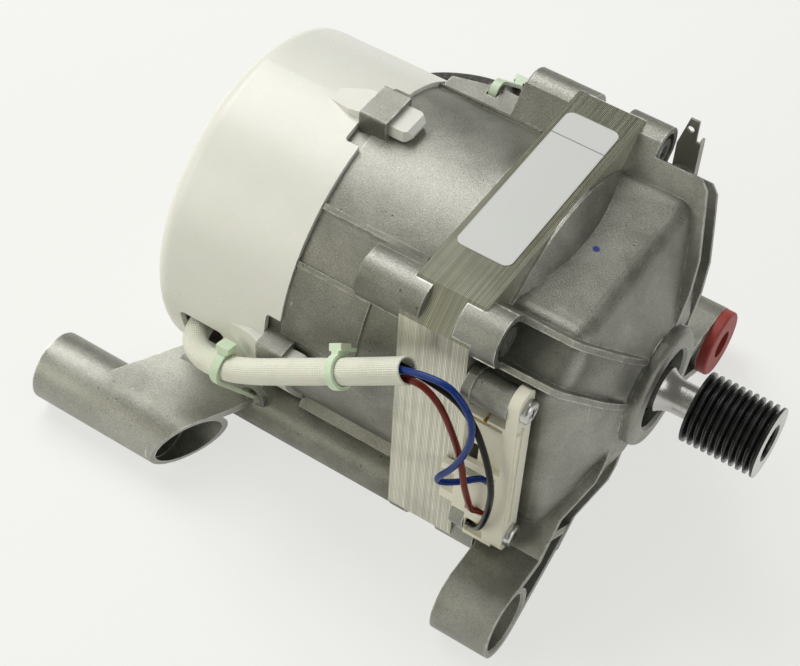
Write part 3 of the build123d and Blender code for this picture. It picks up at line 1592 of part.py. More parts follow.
def passing(route, plane, reach):
    """Places in a plane square to X that a slanting cord covers over the tie's width."""
    x = plane.origin.X
    spots = [middle_at(route, x + shift)[0] for shift in (-reach, 0, reach)]
    return [(spot.Y, spot.Z - axis_height) for spot in spots]


def band_tie(plane, holds, head_turn, name, tail=0):
    """Tie in one plane round circles given as (place, radius), its head on the first."""
    head_place, head_hold = holds[0]
    head_reach = head_hold + tie_gap + tie_thickness / 2 + tie_head_height / 2
    with BuildPart() as tie:
        with BuildSketch(plane):
            for place, radius in holds:
                with Locations(place):
                    Circle(radius + tie_gap + tie_thickness)
            make_hull()
        extrude(amount=tie_width / 2, both=True)
        with BuildSketch(plane):
            for place, radius in holds:
                with Locations(place):
                    Circle(radius + tie_gap)
            make_hull()
        extrude(amount=tie_width, both=True, mode=Mode.SUBTRACT)
        with BuildSketch(plane):
            with Locations(head_place):
                with PolarLocations(head_reach, 1, start_angle=head_turn):
                    Rectangle(tie_head_height, tie_head)
                    if tail > 0:
                        with Locations((0, -(tie_head + tail) / 2)):
                            Rectangle(tie_thickness, tail)
        extrude(amount=tie_width / 2, both=True)
        with BuildSketch(plane):
            with Locations(head_place):
                with PolarLocations(head_reach + tie_thickness / 2, 1, start_angle=head_turn):
                    Rectangle(tie_head_height - tie_thickness, tie_head)
        extrude(amount=tie_head / 2, both=True)
    finish(tie, name)


loop_plane = across(stack_rear - loop_place)
sleeve_spots = passing(sleeve_path, loop_plane, tie_lean_reach)
loop_spot = (-loop_y, -(loop_z - loop_radius + loop_wire / 2))
band_tie(loop_plane, [(spot, sleeve_radius) for spot in reversed(sleeve_spots)] + [(loop_spot, loop_wire)],
         rear_head_turn, "sleeve_tie_rear")

front_spot, front_share = middle_at(sleeve_path, stack_front - front_tie_place)
along = sleeve_path % front_share
front_plane = Plane(origin=front_spot, x_dir=Vector(0, 0, 1).cross(along), z_dir=along)
band_tie(front_plane, [((0, 0), sleeve_radius)], front_head_turn, "sleeve_tie_front", tail=tie_tail)

shelf_plane = across(stack_rear - shelf_lug_place)
cable_spots = passing(cable_path, shelf_plane, tie_width / 2)
shelf_edge = shelf_hole_y + shelf_hole_width / 2
shelf_spot = ((shelf_edge + shelf_lug_reach) / 2, shelf_height - shelf_thickness / 2)
shelf_hold = sqrt((shelf_lug_reach - shelf_edge)**2 + shelf_thickness**2) / 2
band_tie(shelf_plane, [(spot, cable_radius) for spot in cable_spots] + [(shelf_spot, shelf_hold)],
         far_head_turn, "cable_tie_far")
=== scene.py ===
# %% [markdown]
# A washing machine motor, dressed for the camera.
#
# The solids come from the drawing program as a fixed frame: every casting, ring
# and screw is already in its place. This file gives them their finishes, and
# makes the soft pieces, the lamps and the camera. Lengths are in metres.

# %% Load the frame
import math
import bmesh
import bpy
from mathutils import Matrix, Vector


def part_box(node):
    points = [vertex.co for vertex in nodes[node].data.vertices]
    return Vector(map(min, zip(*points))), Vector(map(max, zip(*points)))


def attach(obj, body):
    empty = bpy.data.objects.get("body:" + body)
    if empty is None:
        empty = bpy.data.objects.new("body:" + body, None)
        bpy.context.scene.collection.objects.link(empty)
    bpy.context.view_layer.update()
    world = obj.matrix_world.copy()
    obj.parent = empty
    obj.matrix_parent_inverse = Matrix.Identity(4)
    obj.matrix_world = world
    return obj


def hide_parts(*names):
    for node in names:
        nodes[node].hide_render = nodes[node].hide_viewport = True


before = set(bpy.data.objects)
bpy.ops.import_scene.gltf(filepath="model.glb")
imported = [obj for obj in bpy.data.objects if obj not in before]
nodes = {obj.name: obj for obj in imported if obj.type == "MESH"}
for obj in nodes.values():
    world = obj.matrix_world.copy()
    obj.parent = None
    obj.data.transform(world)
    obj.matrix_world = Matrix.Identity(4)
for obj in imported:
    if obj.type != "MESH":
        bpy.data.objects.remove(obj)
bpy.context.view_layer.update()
mm = 0.001
axis_height = 64.1 * mm
stack_front = 36.25 * mm
print("frame holds", len(nodes), "nodes")

# %% [markdown]
# The camera stands where the photographer stood: high on the near side, a
# little in front of the pulley. Its place and turn were worked out from edges
# whose true places are known, so the render can be laid over the photograph.

# %% Camera
camera_data = bpy.data.cameras.new("photo_camera")
camera_data.sensor_width = 36.0
camera_data.lens = 86.26
camera_data.clip_start = 0.01
camera = bpy.data.objects.new("photo_camera", camera_data)
bpy.context.scene.collection.objects.link(camera)
camera_place = Vector((0.1929, -0.3576, 0.5229))
right = Vector((0.83541, 0.54828, 0.03835))
up = Vector((-0.44195, 0.62863, 0.63993))
back = Vector((0.32675, -0.55156, 0.76747))
turn = Matrix((right, up, back)).transposed().to_4x4()
camera.matrix_world = Matrix.Translation(camera_place) @ turn
bpy.context.scene.camera = camera
print("camera looks down at", round(math.degrees(math.asin(back.z)), 1), "degrees")

# %% [markdown]
# Every finish below is a small net of nodes. Three short helpers keep the nets
# readable: one adds a node and sets its values, one joins two sockets, and one
# starts a node group with named inputs and outputs.

# %% Node helpers
def put(tree, kind, **values):
    """Add a node; values are its settings or, by name, its input defaults."""
    new = tree.nodes.new("ShaderNode" + kind)
    for name, value in values.items():
        label = name.replace("_", " ")
        if label in new.inputs:
            new.inputs[label].default_value = value
        else:
            setattr(new, name, value)
    return new


def join(tree, start, end):
    """Run a wire from an output to an input."""
    tree.links.new(start, end)


def start_group(name, inputs, outputs):
    """Empty group; inputs and outputs are lists of (name, kind, default)."""
    tree = bpy.data.node_groups.new(name, "ShaderNodeTree")
    for label, kind, default in inputs:
        socket = tree.interface.new_socket(label, in_out="INPUT", socket_type="NodeSocket" + kind)
        socket.default_value = default
    for label, kind in outputs:
        tree.interface.new_socket(label, in_out="OUTPUT", socket_type="NodeSocket" + kind)
    return tree, tree.nodes.new("NodeGroupInput"), tree.nodes.new("NodeGroupOutput")


def maths(tree, operation, first, second=None, clamp=False):
    """Math node fed by sockets or plain numbers; returns its output."""
    new = tree.nodes.new("ShaderNodeMath")
    new.operation = operation
    new.use_clamp = clamp
    for place, value in enumerate((first, second)):
        if value is None:
            continue
        if isinstance(value, (int, float)):
            new.inputs[place].default_value = value
        else:
            join(tree, value, new.inputs[place])
    return new.outputs[0]


def blend_colours(tree, amount, first, second, mode="MIX"):
    """Mix two colours by a mask; each may be a socket or a colour."""
    new = put(tree, "Mix", data_type="RGBA", blend_type=mode)
    for place, value in ((0, amount), (6, first), (7, second)):
        if hasattr(value, "links"):
            join(tree, value, new.inputs[place])
        else:
            new.inputs[place].default_value = value
    return new.outputs[2]


def span(tree, value, low, high, start=0.0, end=1.0):
    """Map a value from one range to another, clamped."""
    new = put(tree, "MapRange")
    join(tree, value, new.inputs["Value"])
    for label, number in zip(("From Min", "From Max", "To Min", "To Max"), (low, high, start, end)):
        new.inputs[label].default_value = number
    return new.outputs["Result"]


def noise(tree, place, scale, detail=4.0, roughness=0.55):
    """Noise at a scale in turns per metre."""
    new = put(tree, "TexNoise", Scale=scale, Detail=detail, Roughness=roughness)
    join(tree, place, new.inputs["Vector"])
    return new.outputs["Fac"]


# %% [markdown]
# Wear shows on edges first. The Bevel node gives the normal that the surface
# would have if its edges were rounded. Where that differs from the true normal
# there is an edge, and the difference makes a mask, broken up with noise. On the
# castings this mask also paints a highlight on the edges. A second mask, from
# Pointiness, marks the hollows, where the castings get painted shade.

# %% Group: edge wear, highlight and hollow shade
edge_tree, edge_in, edge_out = start_group(
    "Edge wear, highlight and hollow shade",
    [("Radius", "Float", 0.0006), ("Strength", "Float", 1.0)],
    [("Mask", "Float"), ("Crease", "Float")],
)
rounded = put(edge_tree, "Bevel", samples=6)
join(edge_tree, edge_in.outputs["Radius"], rounded.inputs["Radius"])
shape = put(edge_tree, "NewGeometry")
alike = put(edge_tree, "VectorMath", operation="DOT_PRODUCT")
join(edge_tree, rounded.outputs["Normal"], alike.inputs[0])
join(edge_tree, shape.outputs["Normal"], alike.inputs[1])
edge_amount = maths(edge_tree, "SUBTRACT", 1.0, alike.outputs["Value"], clamp=True)
object_place = put(edge_tree, "TexCoord").outputs["Object"]
broken = noise(edge_tree, object_place, 320, 5.0, 0.7)
edge_amount = maths(edge_tree, "MULTIPLY", edge_amount, span(edge_tree, broken, 0.42, 0.62, 0.08, 1.5))
edge_amount = maths(edge_tree, "MULTIPLY", edge_amount, edge_in.outputs["Strength"], clamp=True)
join(edge_tree, edge_amount, edge_out.inputs["Mask"])
# Crease marks the hollows; the castings use it to paint shade there.
hollow = span(edge_tree, shape.outputs["Pointiness"], 0.40, 0.497, 1.0, 0.0)
join(edge_tree, hollow, edge_out.inputs["Crease"])
print("group", edge_tree.name)

# %% [markdown]
# Sand-cast and die-cast metal is never one grey. There is a fine sandy grain,
# soft clouds where the mould was hotter, and small dark pits. Bright specks are
# also painted into the colour as painted glints, a painted highlight for the
# sparkle of the grain. One group gives these as a colour, a roughness and a
# height that each metal uses in its way.

# %% Group: cast skin
cast_tree, cast_in, cast_out = start_group(
    "Cast skin",
    [("Base", "Color", (0.3, 0.3, 0.28, 1)), ("Light", "Color", (0.5, 0.5, 0.48, 1)),
     ("Dark", "Color", (0.12, 0.115, 0.1, 1)), ("Grain", "Float", 2300.0), ("Clouds", "Float", 55.0),
     ("Glint", "Float", 0.7)],
    [("Colour", "Color"), ("Roughness", "Float"), ("Height", "Float")],
)
place = put(cast_tree, "TexCoord").outputs["Object"]
grain_noise = put(cast_tree, "TexNoise", Detail=5.0, Roughness=0.65)
join(cast_tree, place, grain_noise.inputs["Vector"])
join(cast_tree, cast_in.outputs["Grain"], grain_noise.inputs["Scale"])
cloud_noise = put(cast_tree, "TexNoise", Detail=6.0, Roughness=0.6, Distortion=0.4)
join(cast_tree, place, cloud_noise.inputs["Vector"])
join(cast_tree, cast_in.outputs["Clouds"], cloud_noise.inputs["Scale"])
pits = put(cast_tree, "TexVoronoi", Scale=420.0, Randomness=1.0)
join(cast_tree, place, pits.inputs["Vector"])
pit_choice = noise(cast_tree, place, 160, 2.0)
pit_mask = maths(cast_tree, "MULTIPLY", span(cast_tree, pits.outputs["Distance"], 0.05, 0.22, 1.0, 0.0),
                 span(cast_tree, pit_choice, 0.58, 0.66), clamp=True)
grey = blend_colours(cast_tree, span(cast_tree, cloud_noise.outputs["Fac"], 0.30, 0.72),
                     cast_in.outputs["Base"], cast_in.outputs["Light"])
speck = span(cast_tree, grain_noise.outputs["Fac"], 0.34, 0.52, 0.45, 0.0)
grey = blend_colours(cast_tree, speck, grey, cast_in.outputs["Dark"])
# Painted glints: bright specks painted into the colour as painted highlights.
painted_glint = maths(cast_tree, "MULTIPLY", span(cast_tree, grain_noise.outputs["Fac"], 0.60, 0.72),
              cast_in.outputs["Glint"])
grey = blend_colours(cast_tree, painted_glint, grey, (0.90, 0.90, 0.86, 1))
scratch_map = put(cast_tree, "Mapping")
scratch_map.inputs["Rotation"].default_value = (0.5, 0.9, 0.4)
scratch_map.inputs["Scale"].default_value = (1.0, 1.0, 0.012)
join(cast_tree, place, scratch_map.inputs["Vector"])
scratch_noise = noise(cast_tree, scratch_map.outputs["Vector"], 900, 2.0)
scratches = maths(cast_tree, "MULTIPLY", span(cast_tree, scratch_noise, 0.70, 0.74),
                  span(cast_tree, noise(cast_tree, place, 45, 3.0), 0.52, 0.60), clamp=True)
grey = blend_colours(cast_tree, maths(cast_tree, "MULTIPLY", scratches, 0.6), grey, (0.75, 0.74, 0.70, 1))
grey = blend_colours(cast_tree, maths(cast_tree, "MULTIPLY", pit_mask, 0.8), grey, cast_in.outputs["Dark"])
join(cast_tree, grey, cast_out.inputs["Colour"])
gloss = span(cast_tree, cloud_noise.outputs["Fac"], 0.3, 0.7, 0.36, 0.54)
join(cast_tree, gloss, cast_out.inputs["Roughness"])
height = maths(cast_tree, "SUBTRACT", grain_noise.outputs["Fac"], pit_mask)
join(cast_tree, height, cast_out.inputs["Height"])
print("group", cast_tree.name)

# %% [markdown]
# Moulded plastic and rubber are calmer: a faint cloudiness, a fine skin that
# breaks the gloss, and a little grey dust that lies on faces that look up.

# %% Group: moulded skin
mould_tree, mould_in, mould_out = start_group(
    "Moulded skin",
    [("Colour", "Color", (0.8, 0.8, 0.8, 1)), ("Shade", "Color", (0.6, 0.6, 0.6, 1)),
     ("Clouds", "Float", 60.0), ("Texture", "Float", 2500.0), ("Dust", "Float", 0.1)],
    [("Colour", "Color"), ("Roughness", "Float"), ("Height", "Float")],
)
place = put(mould_tree, "TexCoord").outputs["Object"]
cloud_noise = put(mould_tree, "TexNoise", Detail=5.0, Roughness=0.6)
join(mould_tree, place, cloud_noise.inputs["Vector"])
join(mould_tree, mould_in.outputs["Clouds"], cloud_noise.inputs["Scale"])
skin_noise = put(mould_tree, "TexNoise", Detail=3.0)
join(mould_tree, place, skin_noise.inputs["Vector"])
join(mould_tree, mould_in.outputs["Texture"], skin_noise.inputs["Scale"])
tone = blend_colours(mould_tree, span(mould_tree, cloud_noise.outputs["Fac"], 0.42, 0.75, 0.0, 0.55),
                     mould_in.outputs["Colour"], mould_in.outputs["Shade"])
faces_up = put(mould_tree, "SeparateXYZ")
join(mould_tree, put(mould_tree, "NewGeometry").outputs["Normal"], faces_up.inputs[0])
dust_noise = noise(mould_tree, place, 700, 6.0, 0.7)
dust_mask = maths(mould_tree, "MULTIPLY", span(mould_tree, faces_up.outputs["Z"], 0.0, 1.0),
                  span(mould_tree, dust_noise, 0.45, 0.7))
dust_mask = maths(mould_tree, "MULTIPLY", dust_mask, mould_in.outputs["Dust"], clamp=True)
tone = blend_colours(mould_tree, dust_mask, tone, (0.42, 0.40, 0.36, 1))
join(mould_tree, tone, mould_out.inputs["Colour"])
join(mould_tree, span(mould_tree, dust_noise, 0.3, 0.7, 0.0, 0.12), mould_out.inputs["Roughness"])
join(mould_tree, skin_noise.outputs["Fac"], mould_out.inputs["Height"])
print("group", mould_tree.name)

# %% [markdown]
# Turned and rolled metal carries fine lines. On a shaft they run round it, so
# the pattern changes only along X. Stretching one noise a lot gives them.

# %% Group: tool lines
line_tree, line_in, line_out = start_group(
    "Tool lines",
    [("Pitch", "Float", 3000.0), ("Blotches", "Float", 120.0)],
    [("Lines", "Float"), ("Blotch", "Float")],
)
place = put(line_tree, "TexCoord").outputs["Object"]
squeeze = put(line_tree, "Mapping")
squeeze.inputs["Scale"].default_value = (1.0, 0.02, 0.02)
join(line_tree, place, squeeze.inputs["Vector"])
line_noise = put(line_tree, "TexNoise", Detail=3.0)
join(line_tree, squeeze.outputs["Vector"], line_noise.inputs["Vector"])
join(line_tree, line_in.outputs["Pitch"], line_noise.inputs["Scale"])
blotch_noise = put(line_tree, "TexNoise", Detail=5.0, Roughness=0.6)
join(line_tree, place, blotch_noise.inputs["Vector"])
join(line_tree, line_in.outputs["Blotches"], blotch_noise.inputs["Scale"])
join(line_tree, line_noise.outputs["Fac"], line_out.inputs["Lines"])
join(line_tree, blotch_noise.outputs["Fac"], line_out.inputs["Blotch"])
print("group", line_tree.name)


# %% Material helpers
def start_material(name, metallic=0.0, roughness=0.5, specular=0.5):
    """Material with a Principled shader; returns the material, its net and the shader."""
    material = bpy.data.materials.new(name)
    material.use_nodes = True
    tree = material.node_tree
    shader = tree.nodes["Principled BSDF"]
    shader.inputs["Metallic"].default_value = metallic
    shader.inputs["Roughness"].default_value = roughness
    shader.inputs["Specular IOR Level"].default_value = specular
    return material, tree, shader


def use_group(tree, group, **values):
    """Place a node group with its own values."""
    new = tree.nodes.new("ShaderNodeGroup")
    new.node_tree = group
    for name, value in values.items():
        new.inputs[name].default_value = value
    return new


def raise_bumps(tree, shader, height, distance, strength=1.0, under=None):
    """Bump from a height; under is an earlier normal to build on."""
    bump = put(tree, "Bump", Distance=distance, Strength=strength)
    join(tree, height, bump.inputs["Height"])
    if under is not None:
        join(tree, under, bump.inputs["Normal"])
    join(tree, bump.outputs["Normal"], shader.inputs["Normal"])
    return bump.outputs["Normal"]


def dress(names, material):
    """Give CAD nodes a material."""
    for name in names:
        for slot in nodes[name].material_slots:
            slot.material = material
    print(material.name, "on", ", ".join(names))


# %% [markdown]
# The two end shields are the same die-cast aluminium: mid grey, slightly warm.
# Their edges are made brighter, partly as wear where handling has polished them
# and partly as a painted highlight, and their hollows are darkened as painted
# shade. The front one has a darker base and fewer painted glints than the rear
# one; that difference is painted shade, not a different metal. The rear one gets
# painted shade on the near side of its drum and on top of its near arm, laid by
# masks: one from the way that a face looks, one from where it lies, and noise
# that makes it patchy. The front one has a dot of blue ink, put there on the line
# after testing.

# %% Material: cast aluminium
drum_flank = -60.0 * mm
arm_top = -60.0 * mm
arm_end = -92.5 * mm
ink_place = (46.6 * mm, -1.1 * mm, 110.1 * mm)


def cast_metal(name, base, light, painted_glint, ink=False, drum_and_arm_shade=False):
    """Die-cast aluminium."""
    material, tree, shader = start_material(name, metallic=0.8)
    skin = use_group(tree, cast_tree, Base=base, Light=light, Glint=painted_glint)
    edges = use_group(tree, edge_tree, Radius=0.0009, Strength=3.2)
    # Edges lightened: partly handling wear, partly painted highlight.
    colour = blend_colours(tree, edges.outputs["Mask"], skin.outputs["Colour"], (0.80, 0.79, 0.76, 1))
    # Painted shade: hollows darkened by the crease mask.
    crease_shade = maths(tree, "MULTIPLY", edges.outputs["Crease"], 0.6)
    colour = blend_colours(tree, crease_shade, colour, (0.07, 0.065, 0.055, 1))
    place = put(tree, "TexCoord").outputs["Object"]
    # Painted shade: darkens the near side of the drum and the top of the near arm.
    if drum_and_arm_shade:
        faces = put(tree, "SeparateXYZ")
        join(tree, put(tree, "NewGeometry").outputs["Normal"], faces.inputs[0])
        parts = put(tree, "SeparateXYZ")
        join(tree, place, parts.inputs[0])
        near_side = maths(tree, "MULTIPLY", span(tree, faces.outputs["Y"], -0.25, -0.85),
                          span(tree, parts.outputs["Y"], drum_flank - 2 * mm, drum_flank + 2 * mm))
        flank_shade = maths(tree, "MULTIPLY", near_side,
                     span(tree, noise(tree, place, 38, 4.0), 0.30, 0.62, 0.45, 0.95))
        arm = maths(tree, "MULTIPLY", span(tree, parts.outputs["Y"], arm_top + 4 * mm, arm_top - 4 * mm),
                    span(tree, faces.outputs["Z"], 0.45, 0.75))
        arm = maths(tree, "MULTIPLY", arm,
                    span(tree, parts.outputs["X"], arm_end - 7.5 * mm, arm_end + 7.5 * mm))
        arm_shade = maths(tree, "MULTIPLY", arm, span(tree, noise(tree, place, 30, 5.0), 0.35, 0.60, 0.25, 0.85))
        colour = blend_colours(tree, maths(tree, "MAXIMUM", flank_shade, arm_shade), colour, (0.40, 0.395, 0.36, 1),
                               mode="MULTIPLY")
    if ink:
        away = put(tree, "VectorMath", operation="DISTANCE")
        join(tree, place, away.inputs[0])
        away.inputs[1].default_value = ink_place
        ragged = maths(tree, "ADD", away.outputs["Value"],
                       maths(tree, "MULTIPLY", noise(tree, place, 800, 2.0), 0.0008))
        dot = span(tree, ragged, 0.0013, 0.0018, 0.85, 0.0)
        colour = blend_colours(tree, dot, colour, (0.01, 0.03, 0.22, 1))
    join(tree, colour, shader.inputs["Base Color"])
    join(tree, skin.outputs["Roughness"], shader.inputs["Roughness"])
    raise_bumps(tree, shader, skin.outputs["Height"], 0.00016, 0.8)
    return material


# The front casting's darker base is painted shade: it is the same metal as the rear.
front_cast = cast_metal("front_casting", (0.225, 0.225, 0.195, 1), (0.45, 0.45, 0.405, 1), 0.22, ink=True)
rear_cast = cast_metal("rear_casting", (0.31, 0.31, 0.275, 1), (0.50, 0.50, 0.455, 1), 0.6, drum_and_arm_shade=True)
dress(["front_shield"], front_cast)
dress(["rear_shield"], rear_cast)

# %% [markdown]
# The stack is nearly fifty sheets of electrical steel. From the side it shows
# fine lines, one for each sheet, and every sheet has its own shade. Dividing X
# by the sheet thickness and rounding down gives each sheet a number, and White
# Noise turns the number into a shade.

# %% Material: stacked sheets
sheet_material, tree, shader = start_material("stack_sheets", metallic=0.8, roughness=0.42)
place = put(tree, "TexCoord").outputs["Object"]
parts = put(tree, "SeparateXYZ")
join(tree, place, parts.inputs[0])
sheet_thickness = 0.5 * mm
sheet_count = maths(tree, "DIVIDE", parts.outputs["X"], sheet_thickness)
sheet_number = maths(tree, "FLOOR", sheet_count)
in_sheet = maths(tree, "SUBTRACT", sheet_count, sheet_number)
shade = put(tree, "TexWhiteNoise", noise_dimensions="1D")
join(tree, sheet_number, shade.inputs["W"])
seam = maths(tree, "ABSOLUTE", maths(tree, "SUBTRACT", in_sheet, 0.5))
seam_mask = span(tree, seam, 0.28, 0.5)
smear_map = put(tree, "Mapping")
smear_map.inputs["Scale"].default_value = (1.0, 0.03, 0.03)
join(tree, place, smear_map.inputs["Vector"])
smear = noise(tree, smear_map.outputs["Vector"], 900, 4.0)
clouds = noise(tree, place, 70, 5.0)
colour = blend_colours(tree, shade.outputs["Value"], (0.56, 0.545, 0.43, 1), (0.90, 0.88, 0.73, 1))
colour = blend_colours(tree, span(tree, smear, 0.35, 0.65, 0.0, 0.5), colour, (0.92, 0.915, 0.83, 1))
colour = blend_colours(tree, span(tree, clouds, 0.45, 0.75, 0.0, 0.35), colour, (0.22, 0.21, 0.17, 1))
faces = put(tree, "SeparateXYZ")
join(tree, put(tree, "NewGeometry").outputs["Normal"], faces.inputs[0])
across_sheets = span(tree, maths(tree, "ABSOLUTE", faces.outputs["X"]), 0.6, 0.9, 1.0, 0.0)
seam_mask = maths(tree, "MULTIPLY", seam_mask, across_sheets)
colour = blend_colours(tree, maths(tree, "MULTIPLY", seam_mask, 0.75), colour, (0.10, 0.095, 0.08, 1))
# Painted shade: faces that look up are darkened.
top_shade = span(tree, faces.outputs["Z"], 0.3, 0.6, 0.0, 0.75)
colour = blend_colours(tree, top_shade, colour, (0.235, 0.25, 0.205, 1), mode="MULTIPLY")
join(tree, colour, shader.inputs["Base Color"])
join(tree, span(tree, smear, 0.3, 0.7, 0.30, 0.52), shader.inputs["Roughness"])
raise_bumps(tree, shader, maths(tree, "SUBTRACT", shade.outputs["Value"], seam_mask), 0.00012, 0.6)
dress(["stator_core", "rotor_core"], sheet_material)


# %% [markdown]
# Plain moulded parts share one recipe: the moulded skin group with its own
# colours, a roughness of its own, and a hint of wear on the edges.

# %% Material: moulded plastics and rubbers
def moulded(name, colour, shade, roughness, dust=0.1, clouds=60.0, bump=0.00004, worn=None, texture=2500.0):
    """Moulded plastic or rubber."""
    material, tree, shader = start_material(name, roughness=roughness)
    skin = use_group(tree, mould_tree, Colour=colour, Shade=shade, Clouds=clouds, Texture=texture, Dust=dust)
    tone = skin.outputs["Colour"]
    if worn is not None:
        edges = use_group(tree, edge_tree, Radius=0.0004, Strength=1.2)
        tone = blend_colours(tree, edges.outputs["Mask"], tone, worn)
    join(tree, tone, shader.inputs["Base Color"])
    join(tree, maths(tree, "ADD", skin.outputs["Roughness"], roughness), shader.inputs["Roughness"])
    raise_bumps(tree, shader, skin.outputs["Height"], bump, 0.5)
    return material, tree, shader


hood_material, tree, shader = moulded(
    "hood_moulding", (0.86, 0.86, 0.80, 1), (0.79, 0.79, 0.71, 1), 0.25, dust=0.05, clouds=28.0,
    worn=(0.92, 0.91, 0.88, 1))
shader.inputs["Subsurface Weight"].default_value = 0.05
shader.inputs["Subsurface Scale"].default_value = 0.002
dress(["rear_hood"], hood_material)
dress(["mount_bush"], moulded("bush_rubber", (0.40, 0.05, 0.04, 1), (0.28, 0.035, 0.03, 1), 0.46,
                              dust=0.08, worn=(0.50, 0.12, 0.09, 1))[0])
dress(["terminal_block"], moulded("block_moulding", (0.95, 0.92, 0.78, 1), (0.89, 0.86, 0.70, 1), 0.40,
                                  dust=0.05, worn=(0.93, 0.91, 0.82, 1))[0])
tie_material, tree, shader = moulded("tie_moulding", (0.70, 0.84, 0.64, 1), (0.62, 0.77, 0.57, 1), 0.30)
shader.inputs["Subsurface Weight"].default_value = 0.3
shader.inputs["Subsurface Scale"].default_value = 0.0015
dress(["sleeve_tie_rear", "sleeve_tie_front", "cable_tie_far"], tie_material)
dress(["sensor_plug"], moulded("plug_moulding", (0.72, 0.70, 0.62, 1), (0.62, 0.60, 0.52, 1), 0.45)[0])
dress(["front_insulator", "rear_insulator"],
      moulded("insulator_moulding", (0.62, 0.56, 0.40, 1), (0.50, 0.45, 0.32, 1), 0.5)[0])
dress(["front_bearing_seals", "rear_bearing_seals"],
      moulded("seal_rubber", (0.02, 0.02, 0.02, 1), (0.035, 0.033, 0.03, 1), 0.55, dust=0.2)[0])
dress(["sensor_magnet"], moulded("ring_magnet", (0.05, 0.05, 0.05, 1), (0.08, 0.078, 0.075, 1), 0.6)[0])


# %% [markdown]
# Bare steel, brass and copper take the tool-lines group: it changes the
# roughness a little from line to line, which is what makes metal look cut.

# %% Material: bare metals
def bare_metal(name, colour, dark, roughness, pitch=3000.0, blotches=150.0, edge=None):
    """Turned, rolled or ground metal."""
    material, tree, shader = start_material(name, metallic=1.0)
    tool = use_group(tree, line_tree, Pitch=pitch, Blotches=blotches)
    tone = blend_colours(tree, span(tree, tool.outputs["Blotch"], 0.45, 0.75, 0.0, 0.7), colour, dark)
    if edge is not None:
        edges = use_group(tree, edge_tree, Radius=0.0003, Strength=1.6)
        tone = blend_colours(tree, edges.outputs["Mask"], tone, edge)
    join(tree, tone, shader.inputs["Base Color"])
    join(tree, span(tree, tool.outputs["Lines"], 0.3, 0.7, roughness * 0.75, roughness * 1.35),
         shader.inputs["Roughness"])
    raise_bumps(tree, shader, tool.outputs["Lines"], 0.00002, 0.35)
    return material


zinc = bare_metal("zinc_steel", (0.68, 0.68, 0.66, 1), (0.36, 0.36, 0.34, 1), 0.30, edge=(0.8, 0.8, 0.8, 1))
dress(["through_bolts", "terminal_screws", "earth_screw", "wave_washer", "shaft_clip", "sensor_screws"], zinc)
tab_steel = bare_metal("tab_steel", (0.40, 0.395, 0.35, 1), (0.27, 0.265, 0.23, 1), 0.48,
                       edge=(0.85, 0.85, 0.82, 1))
tab_steel.node_tree.nodes["Principled BSDF"].inputs["Metallic"].default_value = 0.55
dress(["earth_tab"], tab_steel)
dress(["shaft"], bare_metal("turned_steel", (0.55, 0.54, 0.52, 1), (0.48, 0.47, 0.44, 1), 0.30,
                            pitch=5200.0))
dress(["front_bearing_outer", "front_bearing_inner", "front_bearing_balls", "rear_bearing_outer",
       "rear_bearing_inner", "rear_bearing_balls"],
      bare_metal("bearing_steel", (0.62, 0.62, 0.62, 1), (0.50, 0.50, 0.50, 1), 0.15, pitch=7000.0))
dress(["rotor_end_plates"], bare_metal("turned_alloy", (0.62, 0.62, 0.62, 1), (0.5, 0.5, 0.5, 1), 0.32))
dress(["rotor_magnets"], bare_metal("coated_magnet", (0.13, 0.13, 0.135, 1), (0.08, 0.08, 0.08, 1), 0.4))
dress(["terminal_contacts"], bare_metal("stamped_brass", (0.70, 0.48, 0.16, 1), (0.45, 0.30, 0.10, 1), 0.3))

# %% [markdown]
# The pulley is lacquered black after turning, and its front face was then cut
# bare. The normal along X picks the front face, and only faces within 0.3 mm of
# the frontmost plane are made bare, so the hollow in the middle stays black.

# %% Material: pulley
pulley_front = 112.1 * mm
pulley_material, tree, shader = start_material("pulley_lacquer", roughness=0.22)
tool = use_group(tree, line_tree, Pitch=4200.0, Blotches=200.0)
faces = put(tree, "SeparateXYZ")
join(tree, put(tree, "NewGeometry").outputs["Normal"], faces.inputs[0])
parts = put(tree, "SeparateXYZ")
join(tree, put(tree, "TexCoord").outputs["Object"], parts.inputs[0])
bare = maths(tree, "MULTIPLY", span(tree, faces.outputs["X"], 0.90, 0.97),
             span(tree, parts.outputs["X"], pulley_front - 0.3 * mm, pulley_front))
edges = use_group(tree, edge_tree, Radius=0.00025, Strength=1.3)
black = blend_colours(tree, span(tree, tool.outputs["Blotch"], 0.4, 0.7), (0.012, 0.012, 0.013, 1),
                      (0.03, 0.03, 0.03, 1))
black = blend_colours(tree, maths(tree, "MULTIPLY", edges.outputs["Mask"], 0.5), black, (0.16, 0.16, 0.16, 1))
join(tree, blend_colours(tree, bare, black, (0.50, 0.49, 0.46, 1)), shader.inputs["Base Color"])
join(tree, bare, shader.inputs["Metallic"])
join(tree, span(tree, tool.outputs["Lines"], 0.3, 0.7, 0.18, 0.34), shader.inputs["Roughness"])
raise_bumps(tree, shader, tool.outputs["Lines"], 0.00003, 0.4)
dress(["drive_pulley"], pulley_material)

# %% [markdown]
# Enamelled copper wire is wound in neat turns over each tooth. The coils are
# smooth solids, so the turns are drawn as bands along the radius of the motor.

